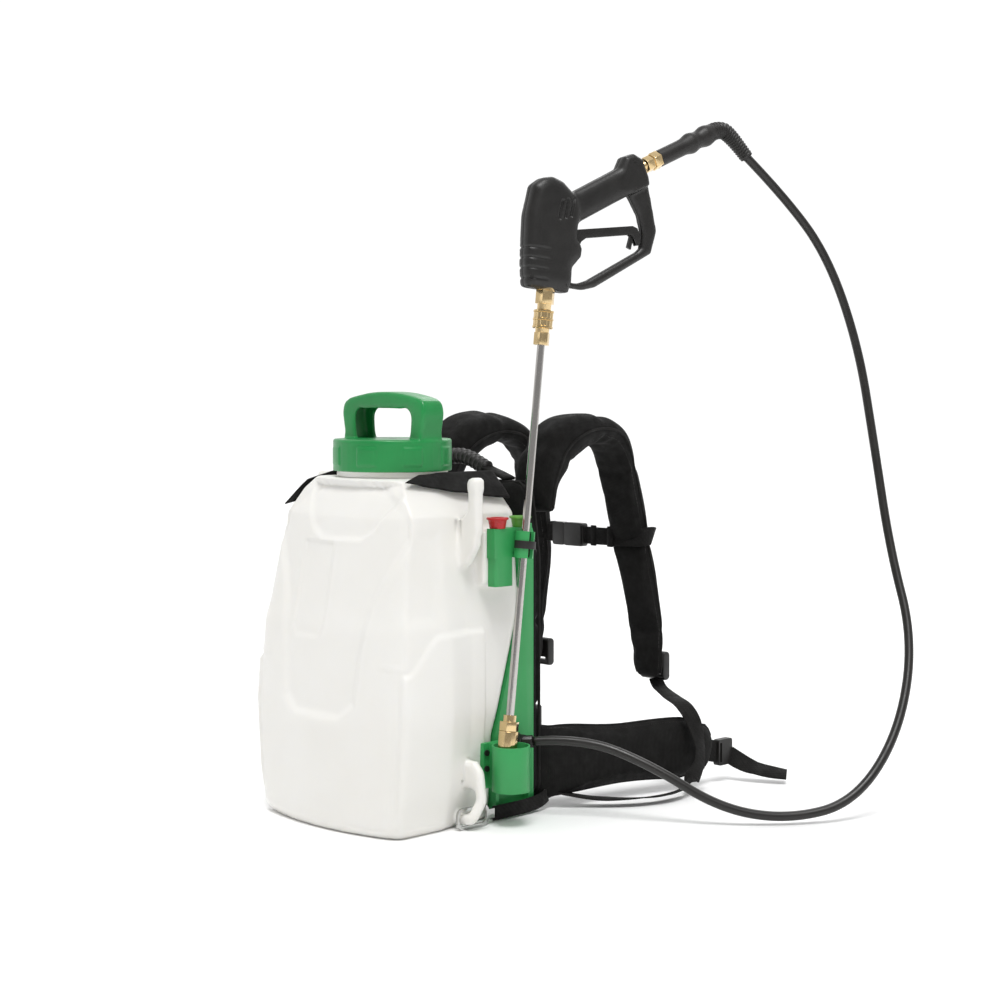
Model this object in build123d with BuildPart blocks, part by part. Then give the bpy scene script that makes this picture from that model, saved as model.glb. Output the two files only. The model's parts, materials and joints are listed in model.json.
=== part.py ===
from build123d import *
import math
import os

# Battery backpack sprayer, in millimetres.
# +X is the wearer's right, +Y is the wearer's forward (towards the harness), +Z is up.
# The origin is on the floor, under the axis of the tank's lid.

os.makedirs("parts", exist_ok=True)

# Tank
TANK_WALL = 3.5
TANK_BACK = 110.0
TANK_EDGE_Y = -30.0  # where the side steps in towards the back
TANK_REAR_Y = 12.0
POST_TOP = 438.0
# height, half width, front corner Y, front middle Y, rear half width, back Y
TANK_TOP = 436.0
TANK_LEVELS = [
    (0, 124, -101, -123, 116, 110),
    (12, 132, -109, -131, 122, 110),
    (143, 142, -110, -133, 130, 110),
    (250, 139, -104, -126, 129, 110),
    (275, 134, -99, -120, 127, 110),
    (390, 121, -82, -100, 117, 110),
    (420, 98, -72, -86, 96, 102),
    (436, 82, -62, -77, 80, 90),
]

# Round loop low on each side, for the strap's snap hook
LUG_R = 7.0
LUG_ROUTE = [(118, 6, 82), (152, 8, 74), (157, 8, 36), (152, -4, 13), (112, -4, 13)]

# Filler neck, strainer and lid
NECK_R = 72.0
NECK_BORE_R = 65.0
NECK_TOP = 474.0
STRAINER_R = 62.0
STRAINER_DEPTH = 92.0
GASKET_TOP = 480.6
LID_R = 77.0
LID_INNER_R = 75.2
LID_BOTTOM = 443.6
LID_TOP = 484.6
HANDLE_TOP = 545.0
HANDLE_HALF = 76.0
HANDLE_DEPTH = 38.0

# Green base with the battery and the pump
CHASSIS_HALF = 130.0
CHASSIS_BACK = 126.0
CHASSIS_TOP = 375.0
CHASSIS_WALL = 3.0
COVER_BACK = 129.0

# Lance holder cup and upper clip
CUP_X = 168.0
CUP_Y = 49.0
CUP_R = 24.0
CUP_BORE_R = 22.0
CUP_BOTTOM = 45.0
CUP_TOP = 102.0
CLIP_INNER_X = 140.1
CLIP_OUTER_X = 154.0
TIP_X = 146.0
TIP_RED_Y = 47.0
TIP_GREEN_Y = 88.0
DECK_TOP = 373.0

# Lance, leaning back in the YZ plane
LEAN = math.radians(6.87)
LANCE_FOOT = (165.0, 41.1, 62.0)
LANCE_R = 5.0
GUN_START = 617.4

# Spray gun handle direction, seen from above
GUN_AIM = (0.259, 0.966, 0.0)

# Hose
HOSE_R = 6.0
HOSE_POINTS = [
    (154, 103, 98),
    (206, 142, 104),
    (284, 184, 74),
    (352, 236, 22),
    (410, 300, 3.2),
    (458, 376, 24),
    (472, 456, 104),
    (448, 526, 216),
    (392, 556, 330),
    (356, 572, 470),
    (324, 580, 610),
    (294, 548, 736),
    (262, 488, 817.6),
    (243.2, 427.4, 868.4),
]


def tank_block(inset):
    # The tank's outside when inset is 0, and the space inside it when inset is the wall.
    with BuildPart() as block:
        for z, half, corner_y, middle_y, rear_half, back_y in TANK_LEVELS:
            level = z + inset if z == 0 else (z - inset if z == 436 else z)
            with BuildSketch(Plane.XY.offset(level)) as slice_face:
                with BuildLine():
                    front = corner_y + inset
                    side = half - inset
                    rear = rear_half - inset
                    back = back_y - inset
                    ThreePointArc((-side, front), (0, middle_y + inset), (side, front))
                    Polyline(
                        (side, front),
                        (side, TANK_EDGE_Y),
                        (rear, TANK_REAR_Y),
                        (rear, back),
                        (-rear, back),
                        (-rear, TANK_REAR_Y),
                        (-side, TANK_EDGE_Y),
                        (-side, front),
                    )
                make_face()
                fillet(slice_face.vertices().group_by(Axis.Y)[0], 20 - inset)
                fillet(slice_face.vertices().group_by(Axis.Y)[-1], 10 - inset)
        loft(ruled=True)
        with BuildSketch(Plane.YZ):
            with BuildLine():
                Polyline(
                    (60 - inset, -5),
                    (60 - inset, 109 + inset / 3),
                    (TANK_BACK - inset, 276 + inset / 3),
                    (160, 276 + inset / 3),
                    (160, -5),
                    close=True,
                )
            make_face()
        extrude(amount=200, both=True, mode=Mode.SUBTRACT)
    return block.part


def swept_tube(points, radius, radii, bore=0):
    # A round cord or tube along straight runs joined by arcs.
    with BuildPart() as piece:
        with BuildLine() as route:
            FilletPolyline(*points, radius=radii)
        with BuildSketch(route.line ^ 0):
            Circle(radius)
            if bore:
                Circle(bore, mode=Mode.SUBTRACT)
        sweep()
    return piece.part


def side_strap(x_middle, width, points, radii, thickness):
    # A flat band that runs in a plane of constant X.
    with BuildPart() as piece:
        with BuildSketch(Plane.YZ.offset(x_middle - width / 2)):
            with BuildLine():
                FilletPolyline(*points, radius=radii)
            trace(line_width=thickness)
        extrude(amount=width)
    return piece.part


def floor_strap(z_bottom, height, points, radii, thickness):
    # A flat band that stands on edge and runs in a horizontal plane.
    with BuildPart() as piece:
        with BuildSketch(Plane.XY.offset(z_bottom)):
            with BuildLine():
                FilletPolyline(*points, radius=radii)
            trace(line_width=thickness)
        extrude(amount=height)
    return piece.part


def bend_radii(points):
    # The fillet radius at each corner: 0.45 of the shorter run over tan(half the turn).
    radii = []
    for before, here, after in zip(points, points[1:], points[2:]):
        run_in = Vector(*here) - Vector(*before)
        run_out = Vector(*after) - Vector(*here)
        turn = math.radians(run_in.get_angle(run_out))
        shorter = min(run_in.length, run_out.length)
        radii.append(0.45 * shorter / math.tan(turn / 2))
    return radii


def mirrored(piece):
    with BuildPart() as other:
        add(piece)
        mirror(about=Plane.YZ, mode=Mode.REPLACE)
    return other.part


def save(name, piece):
    piece.label = name
    export_step(piece, "parts/" + name + ".step")


# ---------------------------------------------------------------- tank
tank_outside = tank_block(0)
tank_inside = tank_block(TANK_WALL)

with BuildPart() as tank:
    add(tank_outside)
    # boss that carries the upper lance clip
    with Locations((124, 53, 336)):
        Box(32, 34, 72)
    add(tank_inside, mode=Mode.SUBTRACT)
    with Locations((0, 0, 425)):
        Cylinder(NECK_BORE_R, 60, align=(Align.CENTER, Align.CENTER, Align.MIN), mode=Mode.SUBTRACT)
    # outlet hole in the low back wall
    with Locations(Location((60, 58, 34), (90, 0, 0))):
        Cylinder(9, 30, mode=Mode.SUBTRACT)

with BuildPart() as filler_neck:
    with Locations((0, 0, TANK_TOP)):
        Cylinder(NECK_R, NECK_TOP - TANK_TOP, align=(Align.CENTER, Align.CENTER, Align.MIN))
    for ridge_z in (453, 464):
        with Locations((0, 0, ridge_z)):
            Cylinder(NECK_R + 2, 3, align=(Align.CENTER, Align.CENTER, Align.MIN))
    with Locations((0, 0, TANK_TOP)):
        Cylinder(NECK_BORE_R, 60, align=(Align.CENTER, Align.CENTER, Align.MIN), mode=Mode.SUBTRACT)

# upright posts on the shoulders and round loops low on the sides, all moulded with the tank
with BuildPart() as strap_anchors:
    with BuildSketch(Plane.XZ.offset(-1)):
        with BuildLine():
            Polyline(
                (110, 318),
                (136, 330),
                (150, 352),
                (154, 372),
                (154, POST_TOP - 4),
                (150, POST_TOP),
                (142, POST_TOP),
                (138, POST_TOP - 4),
                (138, 396),
                (110, 376),
                close=True,
            )
        make_face()
    extrude(amount=-14)
    with BuildLine() as loop_route:
        FilletPolyline(*LUG_ROUTE, radius=[10, 12, 8])
    with BuildSketch(loop_route.line ^ 0):
        Circle(LUG_R)
    sweep()
    add(tank_outside, mode=Mode.SUBTRACT)
    mirror(about=Plane.YZ)

# ---------------------------------------------------------------- strainer
with BuildPart() as strainer_basket:
    with Locations((0, 0, NECK_TOP)):
        Cylinder(71, 2, align=(Align.CENTER, Align.CENTER, Align.MIN))
        Cylinder(STRAINER_R, STRAINER_DEPTH, align=(Align.CENTER, Align.CENTER, Align.MAX))
    with Locations((0, 0, NECK_TOP - STRAINER_DEPTH + 3)):
        Cylinder(
            STRAINER_R - 2,
            STRAINER_DEPTH + 10,
            align=(Align.CENTER, Align.CENTER, Align.MIN),
            mode=Mode.SUBTRACT,
        )
    # eight side windows and one ring of floor windows
    with PolarLocations(STRAINER_R, 8):
        with Locations((0, 0, 424)):
            Box(20, 34, 70, mode=Mode.SUBTRACT)
    with Locations((0, 0, NECK_TOP - STRAINER_DEPTH)):
        with PolarLocations(36, 6):
            Cylinder(14, 20, mode=Mode.SUBTRACT)

with BuildPart() as strainer_mesh:
    with Locations((0, 0, NECK_TOP - STRAINER_DEPTH + 3)):
        Cylinder(STRAINER_R - 2, 84, align=(Align.CENTER, Align.CENTER, Align.MIN))
    with Locations((0, 0, NECK_TOP - STRAINER_DEPTH + 3.6)):
        Cylinder(
            STRAINER_R - 2.6,
            90,
            align=(Align.CENTER, Align.CENTER, Align.MIN),
            mode=Mode.SUBTRACT,
        )

# ---------------------------------------------------------------- lid
with BuildPart() as lid_gasket:
    with Locations((0, 0, NECK_TOP + 2)):
        Cylinder(73, GASKET_TOP - NECK_TOP - 2, align=(Align.CENTER, Align.CENTER, Align.MIN))
        Cylinder(64, 20, mode=Mode.SUBTRACT)

with BuildPart() as lid:
    with Locations((0, 0, LID_BOTTOM)):
        Cylinder(LID_R, LID_TOP - LID_BOTTOM, align=(Align.CENTER, Align.CENTER, Align.MIN))
    fillet(lid.edges().filter_by(GeomType.CIRCLE).group_by(Axis.Z)[-1], 3)
    # raised grip pads round the skirt
    with Locations((0, 0, 452)):
        with PolarLocations(0, 8, start_angle=22.5):
            with Locations((LID_R - 1.5, 0, 0)):
                Box(6, 26, 22, align=(Align.CENTER, Align.CENTER, Align.MIN))
    # arched handle
    with BuildSketch(Plane.XZ.offset(-HANDLE_DEPTH / 2)) as arch:
        with BuildLine():
            Polyline(
                (-HANDLE_HALF + 2, 482),
                (-HANDLE_HALF, 512),
                (-HANDLE_HALF + 12, 530),
                (-34, HANDLE_TOP - 1),
                (0, HANDLE_TOP),
                (34, HANDLE_TOP - 1),
                (HANDLE_HALF - 12, 530),
                (HANDLE_HALF, 512),
                (HANDLE_HALF - 2, 482),
                close=True,
            )
        make_face()
        fillet(arch.vertices().sort_by(Axis.Y)[2:], 5)
    extrude(amount=HANDLE_DEPTH)
    with Locations((0, 0, 460)):
        Cylinder(LID_R + 1.5, 220, mode=Mode.INTERSECT)
    # finger opening, and the hollow channel round it
    with BuildSketch(Plane.XZ.offset(-40)) as fingers:
        with Locations((0, (LID_TOP + 523) / 2)):
            Rectangle(106, 523 - LID_TOP)
        fillet(fingers.vertices().group_by(Axis.Y)[-1], 14)
    extrude(amount=80, mode=Mode.SUBTRACT)
    with BuildSketch(Plane.XZ.offset(-14)) as channel:
        with Locations((0, (LID_TOP + 533) / 2)):
            Rectangle(132, 533 - LID_TOP)
        fillet(channel.vertices().group_by(Axis.Y)[-1], 18)
    extrude(amount=28, mode=Mode.SUBTRACT)
    # inside of the skirt
    with Locations((0, 0, LID_BOTTOM - 1)):
        Cylinder(
            LID_INNER_R,
            GASKET_TOP - LID_BOTTOM + 1,
            align=(Align.CENTER, Align.CENTER, Align.MIN),
            mode=Mode.SUBTRACT,
        )
    # hole for the vent valve
    with Locations((0, 0, 480)):
        Cylinder(4, 40, mode=Mode.SUBTRACT)

with BuildPart() as lid_vent:
    with Locations((0, 0, 474)):
        Cylinder(4, LID_TOP - 474, align=(Align.CENTER, Align.CENTER, Align.MIN))
        Cylinder(9, GASKET_TOP - 474, align=(Align.CENTER, Align.CENTER, Align.MIN))

# ---------------------------------------------------------------- green base
with BuildPart() as chassis:
    with BuildSketch(Plane.YZ.offset(-CHASSIS_HALF)) as chassis_side:
        with BuildLine():
            Polyline(
                (60, 5),
                (60, 109),
                (TANK_BACK, 276),
                (TANK_BACK, CHASSIS_TOP),
                (CHASSIS_BACK, CHASSIS_TOP),
                (CHASSIS_BACK, 13),
                (118, 5),
                close=True,
            )
        make_face()
    extrude(amount=2 * CHASSIS_HALF)
    with BuildSketch(Plane.YZ.offset(-CHASSIS_HALF + CHASSIS_WALL)):
        with BuildLine():
            Polyline(
                (60 + CHASSIS_WALL, 5 + CHASSIS_WALL),
                (60 + CHASSIS_WALL, 108),
                (TANK_BACK + CHASSIS_WALL, 275),
                (TANK_BACK + CHASSIS_WALL, CHASSIS_TOP - CHASSIS_WALL),
                (CHASSIS_BACK + 5, CHASSIS_TOP - CHASSIS_WALL),
                (CHASSIS_BACK + 5, 5 + CHASSIS_WALL),
                close=True,
            )
        make_face()
    extrude(amount=2 * (CHASSIS_HALF - CHASSIS_WALL), mode=Mode.SUBTRACT)
    # recessed pocket low on the right side
    with Locations((CHASSIS_HALF - 8, 93, 25)):
        Box(14, 62, 36)
    with BuildSketch(Plane.YZ.offset(CHASSIS_HALF - 11)):
        with Locations((93, 25)):
            RectangleRounded(54, 28, 8)
    extrude(amount=20, mode=Mode.SUBTRACT)
    # battery window in the left side
    with BuildSketch(Plane.YZ.offset(-CHASSIS_HALF - 5)):
        with Locations((94, 58)):
            RectangleRounded(51, 77, 5)
    extrude(amount=12, mode=Mode.SUBTRACT)
    # hose outlet in the right side, suction hole in the front, knob hole in the left side
    with Locations(Location((CHASSIS_HALF, 94, 98), (0, 90, 0))):
        Cylinder(7, 20, mode=Mode.SUBTRACT)
    with Locations(Location((60, 62, 34), (90, 0, 0))):
        Cylinder(9, 20, mode=Mode.SUBTRACT)
    with Locations(Location((-CHASSIS_HALF, 106, 140), (0, 90, 0))):
        Cylinder(5.2, 20, mode=Mode.SUBTRACT)

with BuildPart() as chassis_cover:
    with BuildSketch(Plane.XZ.offset(-COVER_BACK)):
        with Locations((0, (CHASSIS_TOP + 8) / 2)):
            RectangleRounded(2 * CHASSIS_HALF, CHASSIS_TOP - 8, 14)
    extrude(amount=COVER_BACK - CHASSIS_BACK)

with BuildPart() as battery_pack:
    with Locations((-80, 94, 58)):
        Box(98, 50, 76)
    # end cap with a pocket for the release button
    with Locations((-131, 94, 58)):
        Box(5, 50, 76)
    fillet(battery_pack.edges().filter_by(Axis.X), 6)
    with Locations((-131, 94, 84)):
        Box(12, 22, 12, mode=Mode.SUBTRACT)

with BuildPart() as battery_latch:
    with Locations((-131.5, 94, 84)):
        Box(5, 21.4, 11.4)

with BuildPart() as pump:
    with Locations(Location((8, 94, 66), (0, 90, 0))):
        Cylinder(22, 76)
    with Locations(Location((46, 94, 66), (0, 90, 0))):
        Cylinder(4, 4, align=(Align.CENTER, Align.CENTER, Align.MIN))
    # pump head beside the motor
    with BuildSketch(Plane.YZ.offset(51)):
        with Locations((94, 66)):
            RectangleRounded(48, 44, 5)
    extrude(amount=58)
    with Locations((100, 94, 88)):
        Cylinder(6, 16, align=(Align.CENTER, Align.CENTER, Align.MIN))

with BuildPart() as controller_board:
    with Locations((-20, 117, 180)):
        Box(90, 2, 80)
    with Locations((-30, 121, 190)):
        Box(30, 6, 30)

with BuildPart() as tank_outlet:
    with Locations(Location((60, 50, 34), (-90, 0, 0))):
        Cylinder(13, 5.5, align=(Align.CENTER, Align.CENTER, Align.MIN))
        Cylinder(8.8, 22, align=(Align.CENTER, Align.CENTER, Align.MIN))
        Cylinder(4.5, 60, mode=Mode.SUBTRACT)

suction_points = [(60, 72.2, 34), (60, 90, 34), (60, 90, 15), (84, 90, 15), (84, 90, 43.8)]
suction_hose = swept_tube(suction_points, 5, [7, 7, 7], 3)

elbow_aim = Vector(*HOSE_POINTS[1]) - Vector(*HOSE_POINTS[0])
with BuildPart() as outlet_elbow:
    with Locations(Location((106.4, 94, 98), (0, 90, 0))):
        Cylinder(6.8, 30, align=(Align.CENTER, Align.CENTER, Align.MIN))
    with Locations(Location((130.1, 94, 98), (0, 90, 0))):
        Cylinder(10.5, 3, align=(Align.CENTER, Align.CENTER, Align.MIN))
        Cylinder(8.4, 17, align=(Align.CENTER, Align.CENTER, Align.MIN))
    with BuildSketch(Plane(origin=HOSE_POINTS[0], z_dir=elbow_aim)):
        RegularPolygon(8.2, 12)
    extrude(amount=-13)

with BuildPart() as power_knob:
    with Locations(Location((-131, 106, 140), (0, -90, 0))):
        Cylinder(15, 14, align=(Align.CENTER, Align.CENTER, Align.MIN))
    with Locations(Location((-120, 106, 140), (0, -90, 0))):
        Cylinder(5.1, 11, align=(Align.CENTER, Align.CENTER, Align.MIN))
    with Locations((-143.5, 106, 152)):
        Box(4, 3, 8, mode=Mode.SUBTRACT)

# ---------------------------------------------------------------- lance holder cup
with BuildPart() as nozzle_cup:
    with Locations((CUP_X, CUP_Y, CUP_BOTTOM)):
        Cylinder(CUP_R, CUP_TOP - CUP_BOTTOM, align=(Align.CENTER, Align.CENTER, Align.MIN))
    with Locations((140.5, 59, CUP_BOTTOM)):
        Box(15, 36, CUP_TOP - CUP_BOTTOM, align=(Align.CENTER, Align.CENTER, Align.MIN))
    with Locations((134, 56, CUP_BOTTOM)):
        Box(6, 50, CUP_TOP - CUP_BOTTOM, align=(Align.CENTER, Align.CENTER, Align.MIN))
    with Locations((CUP_X, CUP_Y, CUP_BOTTOM + 4)):
        Cylinder(
            CUP_BORE_R, 80, align=(Align.CENTER, Align.CENTER, Align.MIN), mode=Mode.SUBTRACT
        )
    # drain hole, and room for the screws
    with Locations((CUP_X, CUP_Y, CUP_BOTTOM)):
        Cylinder(5, 20, mode=Mode.SUBTRACT)
    for screw_z in (70, 90):
        with Locations(Location((136, 36, screw_z), (0, 90, 0))):
            Cylinder(2.2, 20, mode=Mode.SUBTRACT)

with BuildPart() as cup_screws:
    for screw_z in (70, 90):
        with Locations(Location((137, 36, screw_z), (0, 90, 0))):
            Cylinder(3.8, 2.4, align=(Align.CENTER, Align.CENTER, Align.MIN))
        with Locations(Location((131.2, 36, screw_z), (0, 90, 0))):
            Cylinder(2.1, 6.5, align=(Align.CENTER, Align.CENTER, Align.MIN))

# ---------------------------------------------------------------- lance line and gun frames
lance_dir = Vector(0, math.sin(LEAN), math.cos(LEAN))
lance_line = Plane(origin=LANCE_FOOT, x_dir=(1, 0, 0), z_dir=lance_dir)
gun_origin = Vector(*LANCE_FOOT) + lance_dir * GUN_START
aim = Vector(*GUN_AIM)
gun_x = (aim - lance_dir * aim.dot(lance_dir)).normalized()
gun_mid = Plane(origin=gun_origin, x_dir=gun_x, z_dir=gun_x.cross(lance_dir))

# ---------------------------------------------------------------- upper clip
clip_at = 290.0  # along the lance line
CLIP_BORE_R = 7.6
with BuildPart() as lance_clip:
    clip_depth = CLIP_OUTER_X - CLIP_INNER_X
    clip_middle = (CLIP_OUTER_X + CLIP_INNER_X) / 2
    with Locations((clip_middle, 52, DECK_TOP)):
        Box(clip_depth, 32, 73, align=(Align.CENTER, Align.CENTER, Align.MAX))
    with Locations((clip_middle, 67, DECK_TOP)):
        Box(clip_depth, 66, 37, align=(Align.CENTER, Align.CENTER, Align.MAX))
    fillet(lance_clip.edges().filter_by(Axis.Z).sort_by(Axis.X)[-2:], 4)
    with BuildSketch(lance_line.offset(clip_at - 15)):
        with Locations((-5.5, 0)):
            Rectangle(14, 12)
        Circle(12.5)
    extrude(amount=34)
    with BuildSketch(lance_line.offset(clip_at - 26)):
        Circle(CLIP_BORE_R)
        with Locations((10, 0)):
            Rectangle(16, 8)
    extrude(amount=60, mode=Mode.SUBTRACT)
    # sockets for the two spare tips
    for tip_y in (TIP_RED_Y, TIP_GREEN_Y):
        with Locations((TIP_X, tip_y, DECK_TOP - 22)):
            Cylinder(4.6, 40, align=(Align.CENTER, Align.CENTER, Align.MIN), mode=Mode.SUBTRACT)

# rubber band round the clip's jaws, and the rubber lining that grips the lance
with BuildPart() as clip_band:
    with BuildSketch(lance_line.offset(clip_at - 3)):
        Circle(14.7)
        Circle(12.7, mode=Mode.SUBTRACT)
        with Locations((-16, 0)):
            Rectangle(24, 40, mode=Mode.SUBTRACT)
    extrude(amount=10)
    with BuildSketch(lance_line.offset(clip_at - 13)):
        Circle(CLIP_BORE_R - 0.1)
        Circle(LANCE_R + 0.2, mode=Mode.SUBTRACT)
        with Locations((10, 0)):
            Rectangle(16, 6, mode=Mode.SUBTRACT)
    extrude(amount=30)


def spray_tip(tip_y):
    # A spare nozzle tip that stands in its socket, with a flared rim round its hollow top.
    with BuildPart() as piece:
        with Locations((TIP_X, tip_y, DECK_TOP - 20)):
            Cylinder(4.5, 20, align=(Align.CENTER, Align.CENTER, Align.MIN))
        with Locations((TIP_X, tip_y, DECK_TOP)):
            Cone(10, 12, 11, align=(Align.CENTER, Align.CENTER, Align.MIN))
        with Locations((TIP_X, tip_y, DECK_TOP + 11)):
            Cylinder(14, 3, align=(Align.CENTER, Align.CENTER, Align.MIN))
        with Locations((TIP_X, tip_y, DECK_TOP + 6)):
            Cylinder(8, 20, align=(Align.CENTER, Align.CENTER, Align.MIN), mode=Mode.SUBTRACT)
    return piece.part


spray_tip_red = spray_tip(TIP_RED_Y)
spray_tip_green = spray_tip(TIP_GREEN_Y)

# ---------------------------------------------------------------- lance
with BuildPart() as nozzle_nut:
    with BuildSketch(lance_line.offset(22)):
        RegularPolygon(12.5, 12)
    extrude(amount=36)
    with BuildSketch(lance_line.offset(30)):
        Circle(8.06)
    extrude(amount=40, mode=Mode.SUBTRACT)
    with BuildSketch(lance_line.offset(20)):
        Circle(1.5)
    extrude(amount=20, mode=Mode.SUBTRACT)

with BuildPart() as nozzle_body:
    with BuildSketch(lance_line.offset(31)):
        Circle(8)
    extrude(amount=28)
    with BuildSketch(lance_line.offset(58.5)):
        RegularPolygon(12.5, 6)
    extrude(amount=11.5)
    with BuildSketch(lance_line.offset(70)):
        Circle(8)
    extrude(amount=8)
    with BuildSketch(lance_line.offset(30)):
        Circle(3)
    extrude(amount=50, mode=Mode.SUBTRACT)

with BuildPart() as lance_tube:
    with BuildSketch(lance_line.offset(78)):
        Circle(LANCE_R)
        Circle(3.5, mode=Mode.SUBTRACT)
    extrude(amount=469)

with BuildPart() as lance_nut:
    with BuildSketch(lance_line.offset(547)):
        RegularPolygon(10.5, 6)
        Circle(3, mode=Mode.SUBTRACT)
    extrude(amount=16)

with BuildPart() as coupler_body:
    with BuildSketch(lance_line.offset(563)):
        Circle(9)
    extrude(amount=37)
    with BuildSketch(lance_line.offset(600)):
        RegularPolygon(12.5, 6)
    extrude(amount=17.4)
    with BuildSketch(lance_line.offset(560)):
        Circle(3)
    extrude(amount=60, mode=Mode.SUBTRACT)

with BuildPart() as coupler_sleeve:
    with BuildSketch(lance_line.offset(568)):
        RegularPolygon(13.5, 24)
        Circle(9.06, mode=Mode.SUBTRACT)
    extrude(amount=24)

# ---------------------------------------------------------------- spray gun
GUN_BODY = [
    (-33, 0),
    (-38, 30),
    (-41, 92),
    (-35, 132),
    (-22, 143),
    (-8, 147),
    (8, 143),
    (24, 131),
    (92, 175),
    (98, 191),
    (112, 198),
    (127, 193),
    (138, 172),
    (148, 143),
    (161, 102),
    (155, 71),
    (72, 14),
    (54, 8),
    (30, 8),
    (30, 0),
]
GRIP_OPENING = [(38, 86), (42, 96), (112, 142), (130, 118), (138, 96), (138, 76), (132, 70)]
GRIP_OPENING += [(60, 22), (46, 16), (34, 15), (32, 33), (43, 48), (44, 66), (38, 72)]
VALVE_R = 12.0

with BuildPart() as gun_valve:
    with BuildSketch(lance_line.offset(GUN_START)):
        Circle(VALVE_R)
    extrude(amount=118)
    grip_start = gun_mid.from_local_coords((0, 98, 0))
    grip_end = gun_mid.from_local_coords((125, 180, 0))
    with BuildSketch(Plane(origin=grip_start, z_dir=grip_end - grip_start)):
        Circle(7)
    extrude(amount=(grip_end - grip_start).length)
    with BuildSketch(lance_line.offset(GUN_START)):
        Circle(3)
    extrude(amount=90, mode=Mode.SUBTRACT)

with BuildPart() as gun_core:
    # the space that the valve and the trigger's root take up
    with BuildSketch(lance_line.offset(GUN_START - 2)):
        Circle(VALVE_R + 0.4)
    extrude(amount=121)
    with BuildSketch(Plane(origin=grip_start, z_dir=grip_end - grip_start)):
        Circle(7.4)
    extrude(amount=200)
    with BuildSketch(gun_mid.offset(-5.5)):
        with BuildLine():
            Polyline((16, 50), (16, 96), (60, 96), (60, 50), close=True)
        make_face()
    extrude(amount=11)

with BuildPart() as gun_outline:
    # the whole clamshell, thick at the body and thin at the guard
    with BuildSketch(gun_mid.offset(-17)) as body_face:
        with BuildLine():
            Polyline(
                (-33, 0),
                (-38, 30),
                (-41, 92),
                (-35, 132),
                (-22, 143),
                (-8, 147),
                (8, 143),
                (24, 131),
                (34, 100),
                (34, 72),
                (43, 62),
                (43, 50),
                (31, 33),
                (30, 0),
                close=True,
            )
        make_face()
    extrude(amount=34)
    with BuildSketch(gun_mid.offset(-14)):
        with BuildLine():
            Polyline(
                (24, 131),
                (92, 175),
                (98, 191),
                (112, 198),
                (127, 193),
                (138, 172),
                (140, 160),
                (112, 142),
                (40, 96),
                (24, 96),
                close=True,
            )
        make_face()
    extrude(amount=28)
    with BuildSketch(gun_mid.offset(-7)):
        with BuildLine():
            Polyline(*GUN_BODY, close=True)
        make_face()
        with BuildLine():
            Polyline(*GRIP_OPENING, close=True)
        make_face(mode=Mode.SUBTRACT)
    extrude(amount=14)
    add(gun_core.part, mode=Mode.SUBTRACT)

with BuildPart() as gun_half_space:
    with BuildSketch(gun_mid):
        Rectangle(500, 500)
    extrude(amount=60)

with BuildPart() as gun_shell_right:
    add(gun_outline.part)
    add(gun_half_space.part, mode=Mode.INTERSECT)

with BuildPart() as gun_shell_left:
    add(gun_outline.part)
    add(gun_half_space.part, mode=Mode.SUBTRACT)

with BuildPart() as trigger:
    with BuildSketch(gun_mid.offset(-5)):
        with BuildLine():
            Polyline(
                (31, 60),
                (33, 80),
                (38, 85),
                (122, 103),
                (130, 101),
                (135, 92),
                (136, 80),
                (132, 78),
                (127, 86),
                (120, 91),
                (52, 76),
                (45, 70),
                (41, 60),
                close=True,
            )
        make_face()
        with Locations((36, 60)):
            Circle(5)
            Circle(2.56, mode=Mode.SUBTRACT)
    extrude(amount=10)
    with BuildSketch(gun_mid.offset(-2.3)):
        with Locations((124, 88)):
            Rectangle(18, 22)
    extrude(amount=4.6, mode=Mode.SUBTRACT)

with BuildPart() as trigger_lock:
    with BuildSketch(gun_mid.offset(-2)):
        with Locations((124, 92)):
            Circle(3)
        with BuildLine():
            Polyline((121.5, 92), (118, 74), (124, 72), (126.5, 92), close=True)
        make_face()
    extrude(amount=4)

with BuildPart() as gun_screws:
    for along, up_from_end in ((-30, 124), (24, 10), (112, 186), (146, 84), (-30, 14)):
        depth = 17 if along < 30 else (14 if up_from_end > 150 else 7)
        with BuildSketch(gun_mid.offset(depth)):
            with Locations((along, up_from_end)):
                Circle(2.6)
        extrude(amount=0.8)
    # the trigger's pin
    with BuildSketch(gun_mid.offset(-5.4)):
        with Locations((36, 60)):
            Circle(2.5)
    extrude(amount=10.8)

inlet_aim = gun_mid.from_local_coords((0.857, 0.515, 0)) - gun_origin
inlet_at = grip_end
with BuildPart() as inlet_fitting:
    with BuildSketch(Plane(origin=inlet_at, z_dir=inlet_aim)):
        Circle(6.5)
    extrude(amount=16)
    with BuildSketch(Plane(origin=inlet_at + inlet_aim * 13, z_dir=inlet_aim)):
        RegularPolygon(11, 6)
    extrude(amount=12)
    add(gun_outline.part, mode=Mode.SUBTRACT)
    add(gun_valve.part, mode=Mode.SUBTRACT)

swivel_at = inlet_at + inlet_aim * 25.1
with BuildPart() as swivel_nut:
    with BuildSketch(Plane(origin=swivel_at, z_dir=inlet_aim)):
        RegularPolygon(12.5, 6)
    extrude(amount=12)

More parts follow.
